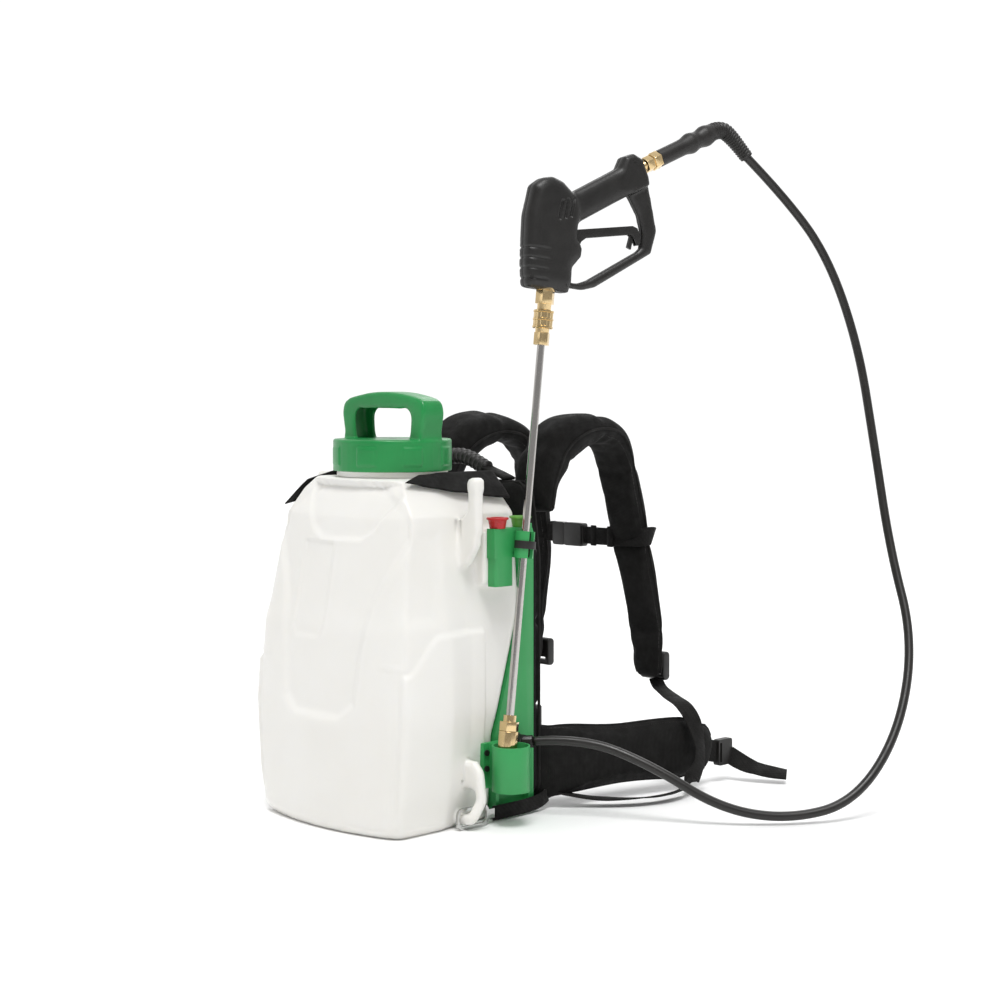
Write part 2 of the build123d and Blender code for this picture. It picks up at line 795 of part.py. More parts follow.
sleeve_points = [
    gun_mid.from_local_coords((125 + 37.6 * 0.857, 180 + 37.6 * 0.515, 0)),
    gun_mid.from_local_coords((204, 228, 0)),
    gun_mid.from_local_coords((252, 258, 0)),
    Vector(*HOSE_POINTS[-1]) - (Vector(*HOSE_POINTS[-2]) - Vector(*HOSE_POINTS[-1])).normalized() * 0.2,
]
with BuildPart() as bend_restrictor:
    with BuildLine() as sleeve_route:
        FilletPolyline(*sleeve_points, radius=[90, 40])
    with BuildSketch(sleeve_route.line ^ 0):
        Circle(10.5)
    sweep()
    for bulge, bulge_r in ((203, 13.5), (228, 14)):
        share = (bulge - 156) / 100
        with Locations(sleeve_route.line ^ share):
            Cylinder(bulge_r, 12)

hose_radii = bend_radii(HOSE_POINTS)
print("hose radii", [round(r) for r in hose_radii])
hose_runs = [(Vector(*b) - Vector(*a)).length for a, b in zip(HOSE_POINTS, HOSE_POINTS[1:])]
print("hose runs", [round(r) for r in hose_runs])
hose = swept_tube(HOSE_POINTS, HOSE_R, hose_radii)
print("hose length", round(hose.volume / (math.pi * HOSE_R**2)))
print("hose end direction", Vector(*HOSE_POINTS[-1]) - Vector(*HOSE_POINTS[-2]))

# ---------------------------------------------------------------- harness
with BuildPart() as back_pad:
    with BuildSketch(Plane.XZ.offset(-130)) as pad_face:
        with BuildLine():
            Polyline((-126, 16), (-126, 330), (-112, 428), (112, 428), (126, 330), (126, 16), close=True)
        make_face()
        fillet(pad_face.vertices(), 16)
    extrude(amount=-25)
    fillet(back_pad.faces().sort_by(Axis.Y)[-1].edges(), 7)

strap_path = [(166.5, 380), (166.5, 436), (215, 499), (285, 484), (356, 400), (390, 250), (394, 140)]
shoulder_strap_right = side_strap(96, 60, strap_path, [40, 45, 50, 60, 60], 20)
shoulder_strap_left = mirrored(shoulder_strap_right)

# chest strap between the shoulder straps, with a side-release buckle
CHEST_Y = 366.0
CHEST_Z = 339.0
with BuildPart() as chest_strap:
    with Locations((35, CHEST_Y, CHEST_Z)):
        Box(61.2, 2.2, 25)
    with Locations((-60.8, CHEST_Y, CHEST_Z)):
        Box(10, 2.2, 25)
with BuildPart() as chest_buckle_female:
    with Locations((-14, CHEST_Y, CHEST_Z)):
        Box(36, 11, 33)
    fillet(chest_buckle_female.edges().filter_by(Axis.Y), 4)
    with Locations((-26, CHEST_Y, CHEST_Z)):
        Box(32, 6, 24, mode=Mode.SUBTRACT)
    with Locations((1.5, CHEST_Y, CHEST_Z)):
        Box(3, 20, 26, mode=Mode.SUBTRACT)
with BuildPart() as chest_buckle_male:
    with Locations((-44, CHEST_Y, CHEST_Z)):
        Box(23, 10, 33)
    fillet(chest_buckle_male.edges().filter_by(Axis.Y), 4)
    with Locations((-50, CHEST_Y, CHEST_Z)):
        Box(16, 3.4, 27, mode=Mode.SUBTRACT)
    for prong_z in (-8.5, 0, 8.5):
        with Locations((-25, CHEST_Y, CHEST_Z + prong_z)):
            Box(18, 4.6, 4.5)

# waist belt wings
belt_path = [(133, 166), (146, 236), (166, 322), (184, 402), (186, 424)]
waist_belt_right = floor_strap(12, 92, belt_path, [120, 120, 60], 16)
waist_belt_left = mirrored(waist_belt_right)

with BuildPart() as waist_buckle_male:
    with Locations(Location((187, 451, 42), (0, 0, 0))):
        Box(10, 30, 36)
    fillet(waist_buckle_male.edges().filter_by(Axis.X), 4)
    with Locations((187, 441, 42)):
        Box(20, 4, 27, mode=Mode.SUBTRACT)

with BuildPart() as waist_buckle_female:
    with Locations((-187, 453, 42)):
        Box(12, 34, 38)
    fillet(waist_buckle_female.edges().filter_by(Axis.X), 4)
    with Locations((-187, 462, 42)):
        Box(7, 24, 28, mode=Mode.SUBTRACT)

with BuildPart() as belt_tail:
    with BuildLine() as tail_route:
        Spline((196, 470, 40), (224, 482, 24), (257, 504, 14.5))
    with BuildSketch(Plane(origin=tail_route.line @ 0, x_dir=(0, 0, 1), z_dir=tail_route.line % 0)):
        Rectangle(24, 2)
    sweep()

# adjusters at the shoulder straps' lower ends, and the webbing back to the base
with BuildPart() as adjusters:
    with Locations((96, 412, 158)):
        Box(44, 14, 40)
    fillet(adjusters.edges().filter_by(Axis.X), 6)
    with Locations((96, 412, 148)):
        Box(30, 20, 4, mode=Mode.SUBTRACT)
    mirror(about=Plane.YZ)

with BuildPart() as lower_webs:
    with BuildLine() as web_route:
        Spline(
            (104, 409, 129),
            (128, 396, 125),
            (156, 378, 122),
            (188, 364, 120),
            (208, 364, 96),
            (211, 376, 58),
            (212, 367, 30),
            (219, 328, 16),
            (220, 290, 12.5),
            (208, 254, 12),
            (184, 222, 12),
            (156, 196, 12),
        )
    with BuildSketch(Plane(origin=web_route.line @ 0, x_dir=(0, 1, 0), z_dir=web_route.line % 0)):
        Rectangle(20, 2)
    sweep()
    mirror(about=Plane.YZ)

# base straps to the tank's lower lugs, with snap hooks
with BuildPart() as base_straps:
    with Locations((137, 48, 11)):
        Box(3, 106, 18, align=(Align.CENTER, Align.MIN, Align.CENTER))
    mirror(about=Plane.YZ)

with BuildPart() as snap_hooks:
    with BuildSketch(Plane.YZ.offset(138)):
        with Locations((9, 13.8)):
            RectangleRounded(54, 26.4, 9)
            RectangleRounded(46, 18.4, 5.5, mode=Mode.SUBTRACT)
        with Locations((19.1, 25)):
            Rectangle(22.8, 8, mode=Mode.SUBTRACT)
    extrude(amount=4)
    with Locations((137.8, 35, 13)):
        Box(4.6, 12.9, 12, align=(Align.CENTER, Align.MIN, Align.CENTER))
    mirror(about=Plane.YZ)

with BuildPart() as snap_gate_right:
    with Locations((140, 18, 25)):
        Box(3.4, 20, 3.4)
    with Locations(Location((138.3, 28, 25), (0, 90, 0))):
        Cylinder(2, 3.4, align=(Align.CENTER, Align.CENTER, Align.MIN))
snap_gate_left = mirrored(snap_gate_right.part)

carry_grip = swept_tube([(-34, 143, 458), (-6, 142, 456), (30, 141, 442)], 9, [60])
with BuildPart() as carry_tabs:
    with Locations((56, 142, 436)):
        Box(34, 22, 4)
    with Locations((66, 142, 432)):
        Box(14, 22, 7.6)
    with Locations((-66, 142, 446)):
        Box(40, 22, 4)
    with Locations((-80, 142, 437.5)):
        Box(12, 22, 18.6)

# fabric flaps over the tank's shoulders
flap_plane_right = Plane(origin=(82.5, 0, 441), x_dir=(42, 0, -43.5), z_dir=(43.5, 0, 42))
with BuildPart() as top_flaps:
    with BuildSketch(flap_plane_right):
        with BuildLine():
            Polyline((0, 100), (0, 0), (12, -72), (36, -30), (54, -8), (56, 100), close=True)
        make_face()
    extrude(amount=2.5)
    mirror(about=Plane.YZ)

PIECES = {
    "tank": tank.part,
    "filler_neck": filler_neck.part,
    "strap_anchors": strap_anchors.part,
    "strainer_basket": strainer_basket.part,
    "strainer_mesh": strainer_mesh.part,
    "lid_gasket": lid_gasket.part,
    "lid": lid.part,
    "lid_vent": lid_vent.part,
    "chassis": chassis.part,
    "chassis_cover": chassis_cover.part,
    "battery_pack": battery_pack.part,
    "battery_latch": battery_latch.part,
    "pump": pump.part,
    "controller_board": controller_board.part,
    "tank_outlet": tank_outlet.part,
    "suction_hose": suction_hose,
    "outlet_elbow": outlet_elbow.part,
    "power_knob": power_knob.part,
    "nozzle_cup": nozzle_cup.part,
    "cup_screws": cup_screws.part,
    "lance_clip": lance_clip.part,
    "clip_band": clip_band.part,
    "spray_tip_red": spray_tip_red,
    "spray_tip_green": spray_tip_green,
    "nozzle_nut": nozzle_nut.part,
    "nozzle_body": nozzle_body.part,
    "lance_tube": lance_tube.part,
    "lance_nut": lance_nut.part,
    "coupler_body": coupler_body.part,
    "coupler_sleeve": coupler_sleeve.part,
    "gun_valve": gun_valve.part,
    "gun_shell_right": gun_shell_right.part,
    "gun_shell_left": gun_shell_left.part,
    "trigger": trigger.part,
    "trigger_lock": trigger_lock.part,
    "gun_screws": gun_screws.part,
    "inlet_fitting": inlet_fitting.part,
    "swivel_nut": swivel_nut.part,
    "bend_restrictor": bend_restrictor.part,
    "hose": hose,
    "back_pad": back_pad.part,
    "shoulder_strap_right": shoulder_strap_right,
    "shoulder_strap_left": shoulder_strap_left,
    "chest_strap": chest_strap.part,
    "chest_buckle_female": chest_buckle_female.part,
    "chest_buckle_male": chest_buckle_male.part,
    "waist_belt_right": waist_belt_right,
    "waist_belt_left": waist_belt_left,
    "waist_buckle_male": waist_buckle_male.part,
    "waist_buckle_female": waist_buckle_female.part,
    "belt_tail": belt_tail.part,
    "carry_grip": carry_grip,
    "carry_tabs": carry_tabs.part,
    "top_flaps": top_flaps.part,
    "adjusters": adjusters.part,
    "lower_webs": lower_webs.part,
    "base_straps": base_straps.part,
    "snap_hooks": snap_hooks.part,
    "snap_gate_right": snap_gate_right.part,
    "snap_gate_left": snap_gate_left,
}
for name, piece in PIECES.items():
    save(name, piece)
print(len(PIECES), "pieces")
print("tank holds, litres", round(tank_inside.volume / 1e6, 1))
print("gun origin", gun_origin, "squeeze axis", gun_mid.z_dir)
print("trigger pivot", gun_mid.from_local_coords((36, 60, 0)))
print("lock pivot", gun_mid.from_local_coords((124, 92, 0)))
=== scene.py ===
import json
import math

import bmesh
import bpy
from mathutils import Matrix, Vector, noise


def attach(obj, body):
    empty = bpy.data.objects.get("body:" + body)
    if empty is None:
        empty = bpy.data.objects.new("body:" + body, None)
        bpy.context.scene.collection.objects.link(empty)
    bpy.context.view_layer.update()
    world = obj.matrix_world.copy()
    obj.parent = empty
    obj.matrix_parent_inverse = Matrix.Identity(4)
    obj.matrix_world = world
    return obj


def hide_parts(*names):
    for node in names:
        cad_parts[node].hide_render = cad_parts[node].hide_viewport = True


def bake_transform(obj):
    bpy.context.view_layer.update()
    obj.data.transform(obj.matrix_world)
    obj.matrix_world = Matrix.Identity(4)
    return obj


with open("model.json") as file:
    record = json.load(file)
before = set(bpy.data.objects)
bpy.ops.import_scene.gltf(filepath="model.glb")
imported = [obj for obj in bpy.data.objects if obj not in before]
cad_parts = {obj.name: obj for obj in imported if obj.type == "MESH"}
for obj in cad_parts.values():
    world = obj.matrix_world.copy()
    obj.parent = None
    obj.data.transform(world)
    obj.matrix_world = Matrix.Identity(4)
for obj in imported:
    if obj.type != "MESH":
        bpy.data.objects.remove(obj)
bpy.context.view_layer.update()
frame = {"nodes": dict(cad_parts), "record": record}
nodes = frame["nodes"]
ROOT = "sprayer"
WAVE_TURN = 20  # radians that a wave texture turns per unit at scale 1


# ---------------- materials
class Maker:
    """Small helper that builds one node material."""

    def __init__(self, name, color, rough, metal=0.0):
        self.mat = bpy.data.materials.new(name)
        self.mat.use_nodes = True
        self.tree = self.mat.node_tree
        self.bsdf = self.tree.nodes["Principled BSDF"]
        self.bsdf.inputs["Base Color"].default_value = (*color, 1)
        self.bsdf.inputs["Roughness"].default_value = rough
        self.bsdf.inputs["Metallic"].default_value = metal
        self.color = color
        self.coords = self.tree.nodes.new("ShaderNodeTexCoord")
        self.height = None

    def node(self, kind, **inputs):
        n = self.tree.nodes.new(kind)
        for key, value in inputs.items():
            n.inputs[key.replace("_", " ")].default_value = value
        return n

    def link(self, a, b):
        self.tree.links.new(a, b)

    def stretched(self, scale):
        m = self.node("ShaderNodeMapping", Scale=scale)
        self.link(self.coords.outputs["Object"], m.inputs["Vector"])
        return m.outputs["Vector"]

    def noise(self, scale, detail=3.0, stretch=(1, 1, 1)):
        n = self.node("ShaderNodeTexNoise", Scale=scale, Detail=detail)
        self.link(self.stretched(stretch), n.inputs["Vector"])
        return n.outputs["Fac"]

    def wave(self, direction, period):
        n = self.node("ShaderNodeTexWave", Scale=2 * math.pi / (WAVE_TURN * period), Distortion=0.0)
        n.wave_type = "BANDS"
        n.bands_direction = direction
        n.wave_profile = "SIN"
        self.link(self.coords.outputs["Object"], n.inputs["Vector"])
        return n.outputs["Fac"]

    def math(self, op, a, b):
        n = self.tree.nodes.new("ShaderNodeMath")
        n.operation = op
        for i, v in enumerate((a, b)):
            if isinstance(v, (int, float)):
                n.inputs[i].default_value = v
            else:
                self.link(v, n.inputs[i])
        return n.outputs[0]

    def ramp(self, fac, low, high):
        """The middle of a 0 to 1 texture stretched over low to high."""
        n = self.node("ShaderNodeMapRange", From_Min=0.3, From_Max=0.7, To_Min=low, To_Max=high)
        self.link(fac, n.inputs["Value"])
        return n.outputs["Result"]

    def vary_color(self, fac, other):
        n = self.tree.nodes.new("ShaderNodeMix")
        n.data_type = "RGBA"
        n.inputs["A"].default_value = (*self.color, 1)
        n.inputs["B"].default_value = (*other, 1)
        self.link(self.ramp(fac, 0, 1), n.inputs["Factor"])
        self.link(n.outputs["Result"], self.bsdf.inputs["Base Color"])

    def vary_rough(self, fac, low, high):
        self.link(self.ramp(fac, low, high), self.bsdf.inputs["Roughness"])

    def bump(self, height, strength, distance):
        n = self.node("ShaderNodeBump", Strength=strength, Distance=distance)
        self.link(height, n.inputs["Height"])
        if self.height is not None:
            self.link(self.height, n.inputs["Normal"])
        self.height = n.outputs["Normal"]
        self.link(self.height, self.bsdf.inputs["Normal"])

    def set(self, **values):
        for key, value in values.items():
            self.bsdf.inputs[key.replace("_", " ")].default_value = value


def plastic(name, color, rough, other, grain=900, strength=0.12):
    m = Maker(name, color, rough)
    m.vary_color(m.noise(14, 4), other)
    m.vary_rough(m.noise(60, 5), rough - 0.06, rough + 0.08)
    m.bump(m.noise(grain, 2), strength, 0.0004)
    m.bump(m.noise(9, 2), 0.12, 0.002)
    m.set(IOR=1.49)
    return m.mat


def woven(name, color, period, other, diagonal=False):
    m = Maker(name, color, 0.82)
    a = m.wave("X", period)
    b = m.wave("Y", period)
    c = m.wave("Z", period)
    weave = m.math("ADD", m.math("MULTIPLY", a, b), m.math("MULTIPLY", b, c))
    weave = m.math("ADD", weave, m.math("MULTIPLY", a, c))
    if diagonal:
        weave = m.math("ADD", weave, m.wave("DIAGONAL", period * 1.6))
    m.vary_color(m.math("ADD", m.noise(30, 5), m.math("MULTIPLY", weave, 0.08)), other)
    m.vary_rough(m.noise(80, 4), 0.72, 0.95)
    m.bump(weave, 0.3, period * 0.3)
    m.bump(m.noise(38, 4), 0.5, 0.0025)
    m.set(Sheen_Weight=0.025, Sheen_Roughness=0.5, IOR=1.33)
    return m.mat


def metal(name, color, rough, stretch=(1, 1, 1), strength=0.05):
    m = Maker(name, color, rough, 1.0)
    m.vary_color(m.noise(40, 4, stretch), tuple(c * 0.92 for c in color))
    m.vary_rough(m.noise(260, 4, stretch), rough - 0.03, rough + 0.06)
    m.bump(m.noise(700, 3, stretch), strength, 0.0003)
    return m.mat


def make_hdpe():
    m = Maker("hdpe", (0.85, 0.838, 0.80), 0.33)
    m.vary_color(m.noise(7, 3), (0.82, 0.803, 0.757))
    m.vary_rough(m.noise(40, 4), 0.30, 0.46)
    m.bump(m.noise(420, 3), 0.10, 0.0004)
    m.bump(m.noise(16, 3), 0.25, 0.0022)
    m.set(Subsurface_Weight=0.18, Subsurface_Scale=0.008, IOR=1.5)
    m.bsdf.inputs["Subsurface Radius"].default_value = (1.0, 0.92, 0.75)
    return m.mat


HDPE = make_hdpe()
GREEN_LID = plastic("green_lid", (0.012, 0.265, 0.062), 0.34, (0.009, 0.215, 0.05))
GREEN = plastic("green_base", (0.036, 0.33, 0.095), 0.38, (0.03, 0.285, 0.078))
BLACK = plastic("black_plastic", (0.0075, 0.007, 0.0066), 0.4, (0.012, 0.011, 0.010), 1100, 0.22)
RUBBER = plastic("black_rubber", (0.009, 0.008, 0.0075), 0.46, (0.014, 0.0125, 0.011), 700, 0.2)
HOSE = plastic("hose_rubber", (0.010, 0.009, 0.008), 0.36, (0.017, 0.0155, 0.014), 500, 0.15)
RED = plastic("red_tip", (0.55, 0.012, 0.014), 0.3, (0.42, 0.008, 0.01))
LIME = plastic("lime_tip", (0.16, 0.42, 0.07), 0.32, (0.12, 0.34, 0.05))
BOARD = plastic("board", (0.02, 0.15, 0.06), 0.4, (0.015, 0.11, 0.04))
BRASS = metal("brass", (0.80, 0.60, 0.32), 0.17, strength=0.03)
STEEL = metal("stainless", (0.56, 0.54, 0.52), 0.12, (1, 1, 0.004), 0.01)
ZINC = metal("zinc", (0.55, 0.55, 0.54), 0.18)
MESH = metal("strainer_mesh", (0.5, 0.5, 0.5), 0.4)
FABRIC = woven("nylon_fabric", (0.0034, 0.0031, 0.0028), 0.0016, (0.0050, 0.0046, 0.0042))
WEBBING = woven("webbing", (0.0045, 0.0042, 0.004), 0.0022, (0.009, 0.0084, 0.0078), True)
PIPING = woven("piping", (0.006, 0.0056, 0.0052), 0.0012, (0.011, 0.0102, 0.0095))

SLOT_MATERIAL = {
    "hdpe": HDPE,
    "green_dark": GREEN_LID,
    "green_light": GREEN,
    "black_plastic": BLACK,
    "red_plastic": RED,
    "lime_plastic": LIME,
    "rubber": RUBBER,
    "brass": BRASS,
    "stainless": STEEL,
    "zinc": ZINC,
    "fabric": FABRIC,
    "webbing": WEBBING,
    "mesh": MESH,
    "board": BOARD,
}
NODE_MATERIAL = {"hose": HOSE, "cup_screws": BLACK, "gun_screws": BLACK}
for part in frame["record"]["subparts"]:
    material_list = nodes[part["node"]].data.materials
    material_list.clear()
    material_list.append(NODE_MATERIAL.get(part["node"], SLOT_MATERIAL[part["material_slot"]]))


# ---------------- hose
HOSE_ROUTE = [
    (0.154, 0.103, 0.098), (0.206, 0.142, 0.104), (0.284, 0.184, 0.074),
    (0.352, 0.236, 0.022), (0.410, 0.300, 0.0072), (0.458, 0.376, 0.024),
    (0.472, 0.456, 0.104), (0.448, 0.526, 0.216), (0.392, 0.556, 0.330),
    (0.356, 0.572, 0.470), (0.324, 0.580, 0.610), (0.294, 0.548, 0.736),
    (0.262, 0.488, 0.8176), (0.2432, 0.4274, 0.8684),
]
HOSE_RADIUS = 0.006


def nurbs_line(points, name, resolution=24):
    """Points along a smooth NURBS route."""
    curve = bpy.data.curves.new(name, "CURVE")
    curve.dimensions = "3D"
    spline = curve.splines.new("NURBS")
    spline.points.add(len(points) - 1)
    for slot_point, point in zip(spline.points, points):
        slot_point.co = (*point, 1)
    spline.order_u = 3
    spline.use_endpoint_u = True
    spline.resolution_u = resolution
    holder = bpy.data.objects.new(name, curve)
    mesh = bpy.data.meshes.new_from_object(holder)
    line = [v.co.copy() for v in mesh.vertices]
    bpy.data.objects.remove(holder)
    bpy.data.curves.remove(curve)
    bpy.data.meshes.remove(mesh)
    return line


def placed(name, data):
    """A new object in the scene."""
    piece = bpy.data.objects.new(name, data)
    bpy.context.scene.collection.objects.link(piece)
    return piece


def new_object(name, verts, faces, material):
    mesh = bpy.data.meshes.new(name)
    mesh.from_pydata([tuple(v) for v in verts], [], faces)
    mesh.validate()
    mesh.update()
    mesh.polygons.foreach_set("use_smooth", [True] * len(mesh.polygons))
    mesh.materials.append(material)
    return placed(name, mesh)


def frames_along(line, up=Vector((0, 0, 1))):
    """Tangent, side and normal at each point, carried along without twisting."""
    out = []
    side = None
    for i, point in enumerate(line):
        a = line[max(i - 1, 0)]
        b = line[min(i + 1, len(line) - 1)]
        tangent = (b - a).normalized()
        if side is None:
            side = tangent.cross(up)
            if side.length < 1e-3:
                side = tangent.cross(Vector((1, 0, 0)))
            side.normalize()
        else:
            side = (side - tangent * side.dot(tangent)).normalized()
        out.append((point, tangent, side, tangent.cross(side).normalized()))
    return out


def length_of(line):
    return sum((b - a).length for a, b in zip(line, line[1:]))


def tube_faces(rings, count):
    """Faces of a closed tube: rings of count points each, and a cap at both ends."""
    faces = []
    for i in range(rings - 1):
        for k in range(count):
            a, b = i * count + k, i * count + (k + 1) % count
            faces.append((a, b, b + count, a + count))
    last = (rings - 1) * count
    return faces + [tuple(reversed(range(count))), tuple(range(last, last + count))]


def swept(name, line, ring_at, material, up=Vector((0, 0, 1))):
    """A closed skin round a line. ring_at(share, length) gives the ring's (side, normal) offsets."""
    total = length_of(line)
    verts, along = [], 0.0
    for i, (point, _, side, normal) in enumerate(frames_along(line, up)):
        if i:
            along += (line[i] - line[i - 1]).length
        ring = ring_at(along / total, along)
        verts += [point + side * x + normal * y for x, y in ring]
    return new_object(name, verts, tube_faces(len(line), len(ring)), material)


def round_ring(radius, count=20):
    turns = [2 * math.pi * k / count for k in range(count)]
    return [(radius * math.cos(turn), radius * math.sin(turn)) for turn in turns]


hose_line = nurbs_line(HOSE_ROUTE, "hose_route")
hose = swept("hose_skin", hose_line, lambda share, along: round_ring(HOSE_RADIUS, 24), HOSE)
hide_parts("hose")


# ---------------- shared mesh helpers
body_of = {node: body for body, names in frame["record"]["behaviour"]["bodies"].items() for node in names}
slot_of = {part["node"]: part["material_slot"] for part in frame["record"]["subparts"]}


def stands_for(piece, *names):
    """The piece replaces these nodes and takes their body."""
    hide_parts(*names)
    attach(piece, body_of[names[0]])
    return piece


def rides(piece, body):
    """An added piece that stands for no CAD node."""
    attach(piece, body)
    return piece


def eased(value, low, high):
    """0 below low, 1 above high, and a smooth step between."""
    t = max(0.0, min(1.0, (value - low) / (high - low)))
    return t * t * (3 - 2 * t)


def bell(distance, width):
    """1 at distance 0, falling away on both sides."""
    return math.exp(-(distance / width) ** 2)


def copy_of(node, name):
    return placed(name, nodes[node].data.copy())


def apply_modifiers(piece):
    bpy.context.view_layer.update()
    evaluated = piece.evaluated_get(bpy.context.evaluated_depsgraph_get())
    mesh = bpy.data.meshes.new_from_object(evaluated)
    old = piece.data
    piece.modifiers.clear()
    piece.data = mesh
    bpy.data.meshes.remove(old)
    mesh.polygons.foreach_set("use_smooth", [True] * len(mesh.polygons))


def add_smoothing(piece, rounds, group=""):
    smooth = piece.modifiers.new("smooth", "SMOOTH")
    smooth.factor = 0.5
    smooth.iterations = rounds
    smooth.vertex_group = group


def add_wall(piece, thickness, offset):
    wall = piece.modifiers.new("wall", "SOLIDIFY")
    wall.thickness = thickness
    wall.offset = offset


def remeshed(piece, voxel, rounds):
    """Joins overlapping closed forms into one skin and softens it."""
    remesh = piece.modifiers.new("voxel", "REMESH")
    remesh.mode = "VOXEL"
    remesh.voxel_size = voxel
    add_smoothing(piece, rounds)
    apply_modifiers(piece)


def joined(name, pieces, material):
    """One object holding the meshes of several."""
    verts, faces = [], []
    for piece in pieces:
        start = len(verts)
        verts += [v.co.copy() for v in piece.data.vertices]
        faces += [tuple(start + i for i in p.vertices) for p in piece.data.polygons]
        bpy.data.objects.remove(piece)
    return new_object(name, verts, faces, material)


MERGE_DISTANCE, FLAT_ANGLE = 1e-5, math.radians(0.6)
BEVEL_ANGLE, SHARP_ANGLE = math.radians(28), math.radians(38)


def softened(node, width, segments=3):
    """A copy of a CAD node with rounded edges."""
    piece = copy_of(node, node + "_finish")
    work = bmesh.new()
    work.from_mesh(piece.data)
    bmesh.ops.remove_doubles(work, verts=work.verts, dist=MERGE_DISTANCE)
    bmesh.ops.dissolve_limit(work, angle_limit=FLAT_ANGLE, verts=work.verts, edges=work.edges)
    work.to_mesh(piece.data)
    work.free()
    bevel = piece.modifiers.new("bevel", "BEVEL")
    bevel.width = width
    bevel.segments = segments
    bevel.limit_method = "ANGLE"
    bevel.angle_limit = BEVEL_ANGLE
    apply_modifiers(piece)
    piece.data.set_sharp_from_angle(angle=SHARP_ANGLE)
    piece.data.materials.clear()
    piece.data.materials.append(SLOT_MATERIAL[slot_of[node]])
    return stands_for(piece, node)


CLOTH_STIFFNESS = 18
CLOTH_FRAMES = 20


def puffed(piece, cap, pressure=4.0):
    """Swells a closed fabric form with cloth pressure; no point moves further than cap."""
    rest = [v.co.copy() for v in piece.data.vertices]
    settings = piece.modifiers.new("cloth", "CLOTH").settings
    settings.quality = 4
    settings.mass = 0.3
    settings.tension_stiffness = CLOTH_STIFFNESS
    settings.compression_stiffness = CLOTH_STIFFNESS
    settings.bending_stiffness = 0.6
    settings.use_pressure = True
    settings.uniform_pressure_force = pressure
    settings.effector_weights.gravity = 0
    scene = bpy.context.scene
    for step in range(1, CLOTH_FRAMES + 1):
        scene.frame_set(step)
    evaluated = piece.evaluated_get(bpy.context.evaluated_depsgraph_get())
    moved = [v.co.copy() for v in evaluated.data.vertices]
    piece.modifiers.clear()
    scene.frame_set(1)
    for vertex, a, b in zip(piece.data.vertices, rest, moved):
        shift = b - a
        if shift.length > cap:
            shift *= cap / shift.length
        vertex.co = a + shift
    piece.data.update()


def subdivided(piece):
    piece.modifiers.new("fine", "SUBSURF").levels = 1
    apply_modifiers(piece)


def blend_between(points, share):
    """Value at share on a line of (share, value) pairs, eased between them."""
    for (s0, v0), (s1, v1) in zip(points, points[1:]):
        if share <= s1:
            return v0 + (v1 - v0) * eased(share, s0, s1)
    return points[-1][1]


PAD_SIDES = 32  # points round a padded band


def pad_ring(width, thickness):
    """A flat oval: its first point is on one edge, and point PAD_SIDES // 2 on the other."""
    ring = []
    for k in range(PAD_SIDES):
        c, s = math.cos(2 * math.pi * k / PAD_SIDES), math.sin(2 * math.pi * k / PAD_SIDES)
        x = width / 2 * math.copysign(abs(c) ** 0.5, c)
        y = thickness / 2 * math.copysign(abs(s) ** 0.75, s)
        ring.append((x, y))
    return ring


def even_line(line, step):
    """The same line with points an even distance apart."""
    lengths = [0.0]
    for a, b in zip(line, line[1:]):
        lengths.append(lengths[-1] + (b - a).length)
    count = max(2, round(lengths[-1] / step))
    out, k = [], 0
    for i in range(count + 1):
        want = lengths[-1] * i / count
        while k < len(line) - 2 and lengths[k + 1] < want:
            k += 1
        t = (want - lengths[k]) / max(1e-9, lengths[k + 1] - lengths[k])
        out.append(line[k].lerp(line[k + 1], min(1.0, t)))
    return out


# a webbing's section as shares of its half width and half thickness
WEB_SECTION = [(-1, -0.5), (-1, 0.5), (-0.93, 1), (0.93, 1), (1, 0.5), (1, -0.5), (0.93, -1), (-0.93, -1)]
WEB_STEP = 0.006


def strip(name, points, sides, width, thickness):
    """Flat webbing along a smooth route, its width direction given at each route point."""
    line = even_line(nurbs_line(points, name, 12), WEB_STEP)
    verts = []
    count = len(line)
    for i, point in enumerate(line):
        share = i / (count - 1) * (len(sides) - 1)
        k = min(int(share), len(sides) - 2)
        side = Vector(sides[k]).lerp(Vector(sides[k + 1]), share - k)
        tangent = (line[min(i + 1, count - 1)] - line[max(i - 1, 0)]).normalized()
        side = (side - tangent * side.dot(tangent)).normalized()
        normal = tangent.cross(side)
        verts += [point + side * (x * width / 2) + normal * (y * thickness / 2) for x, y in WEB_SECTION]
    return new_object(name, verts, tube_faces(count, len(WEB_SECTION)), WEBBING)


STITCH_LENGTH, STITCH_GAP, THREAD_RADIUS = 0.0035, 0.0025, 0.00035
STITCH_STEP = 0.001
# where a stitch's four rings lie along it, and how far each stands out, in thread radii
STITCH_ARCH = ((0, -0.6), (0.25, 1.0), (0.75, 1.0), (1, -0.6))


def stitches(name, line, normals, material):
    """A row of short raised threads along a line."""
    verts, faces = [], []
    fine = even_line(line, STITCH_STEP)
    ups = [normals[min(len(normals) - 1, round(i * (len(normals) - 1) / (len(fine) - 1)))]
           for i in range(len(fine))]
    run = round(STITCH_LENGTH / STITCH_STEP)
    every = round((STITCH_LENGTH + STITCH_GAP) / STITCH_STEP)
    for start in range(0, len(fine) - run, every):
        a, b, up = fine[start], fine[start + run], ups[start]
        side = (b - a).normalized().cross(up).normalized()
        base = len(verts)
        for share, lift in STITCH_ARCH:
            point = a.lerp(b, share)
            for x, y in ((-1, 0), (0, 1), (1, 0), (0, -1)):
                verts.append(point + side * (x * THREAD_RADIUS) + up * ((y + lift) * THREAD_RADIUS))
        faces += [tuple(base + i for i in face) for face in tube_faces(len(STITCH_ARCH), 4)]
    return new_object(name, verts, faces, material)


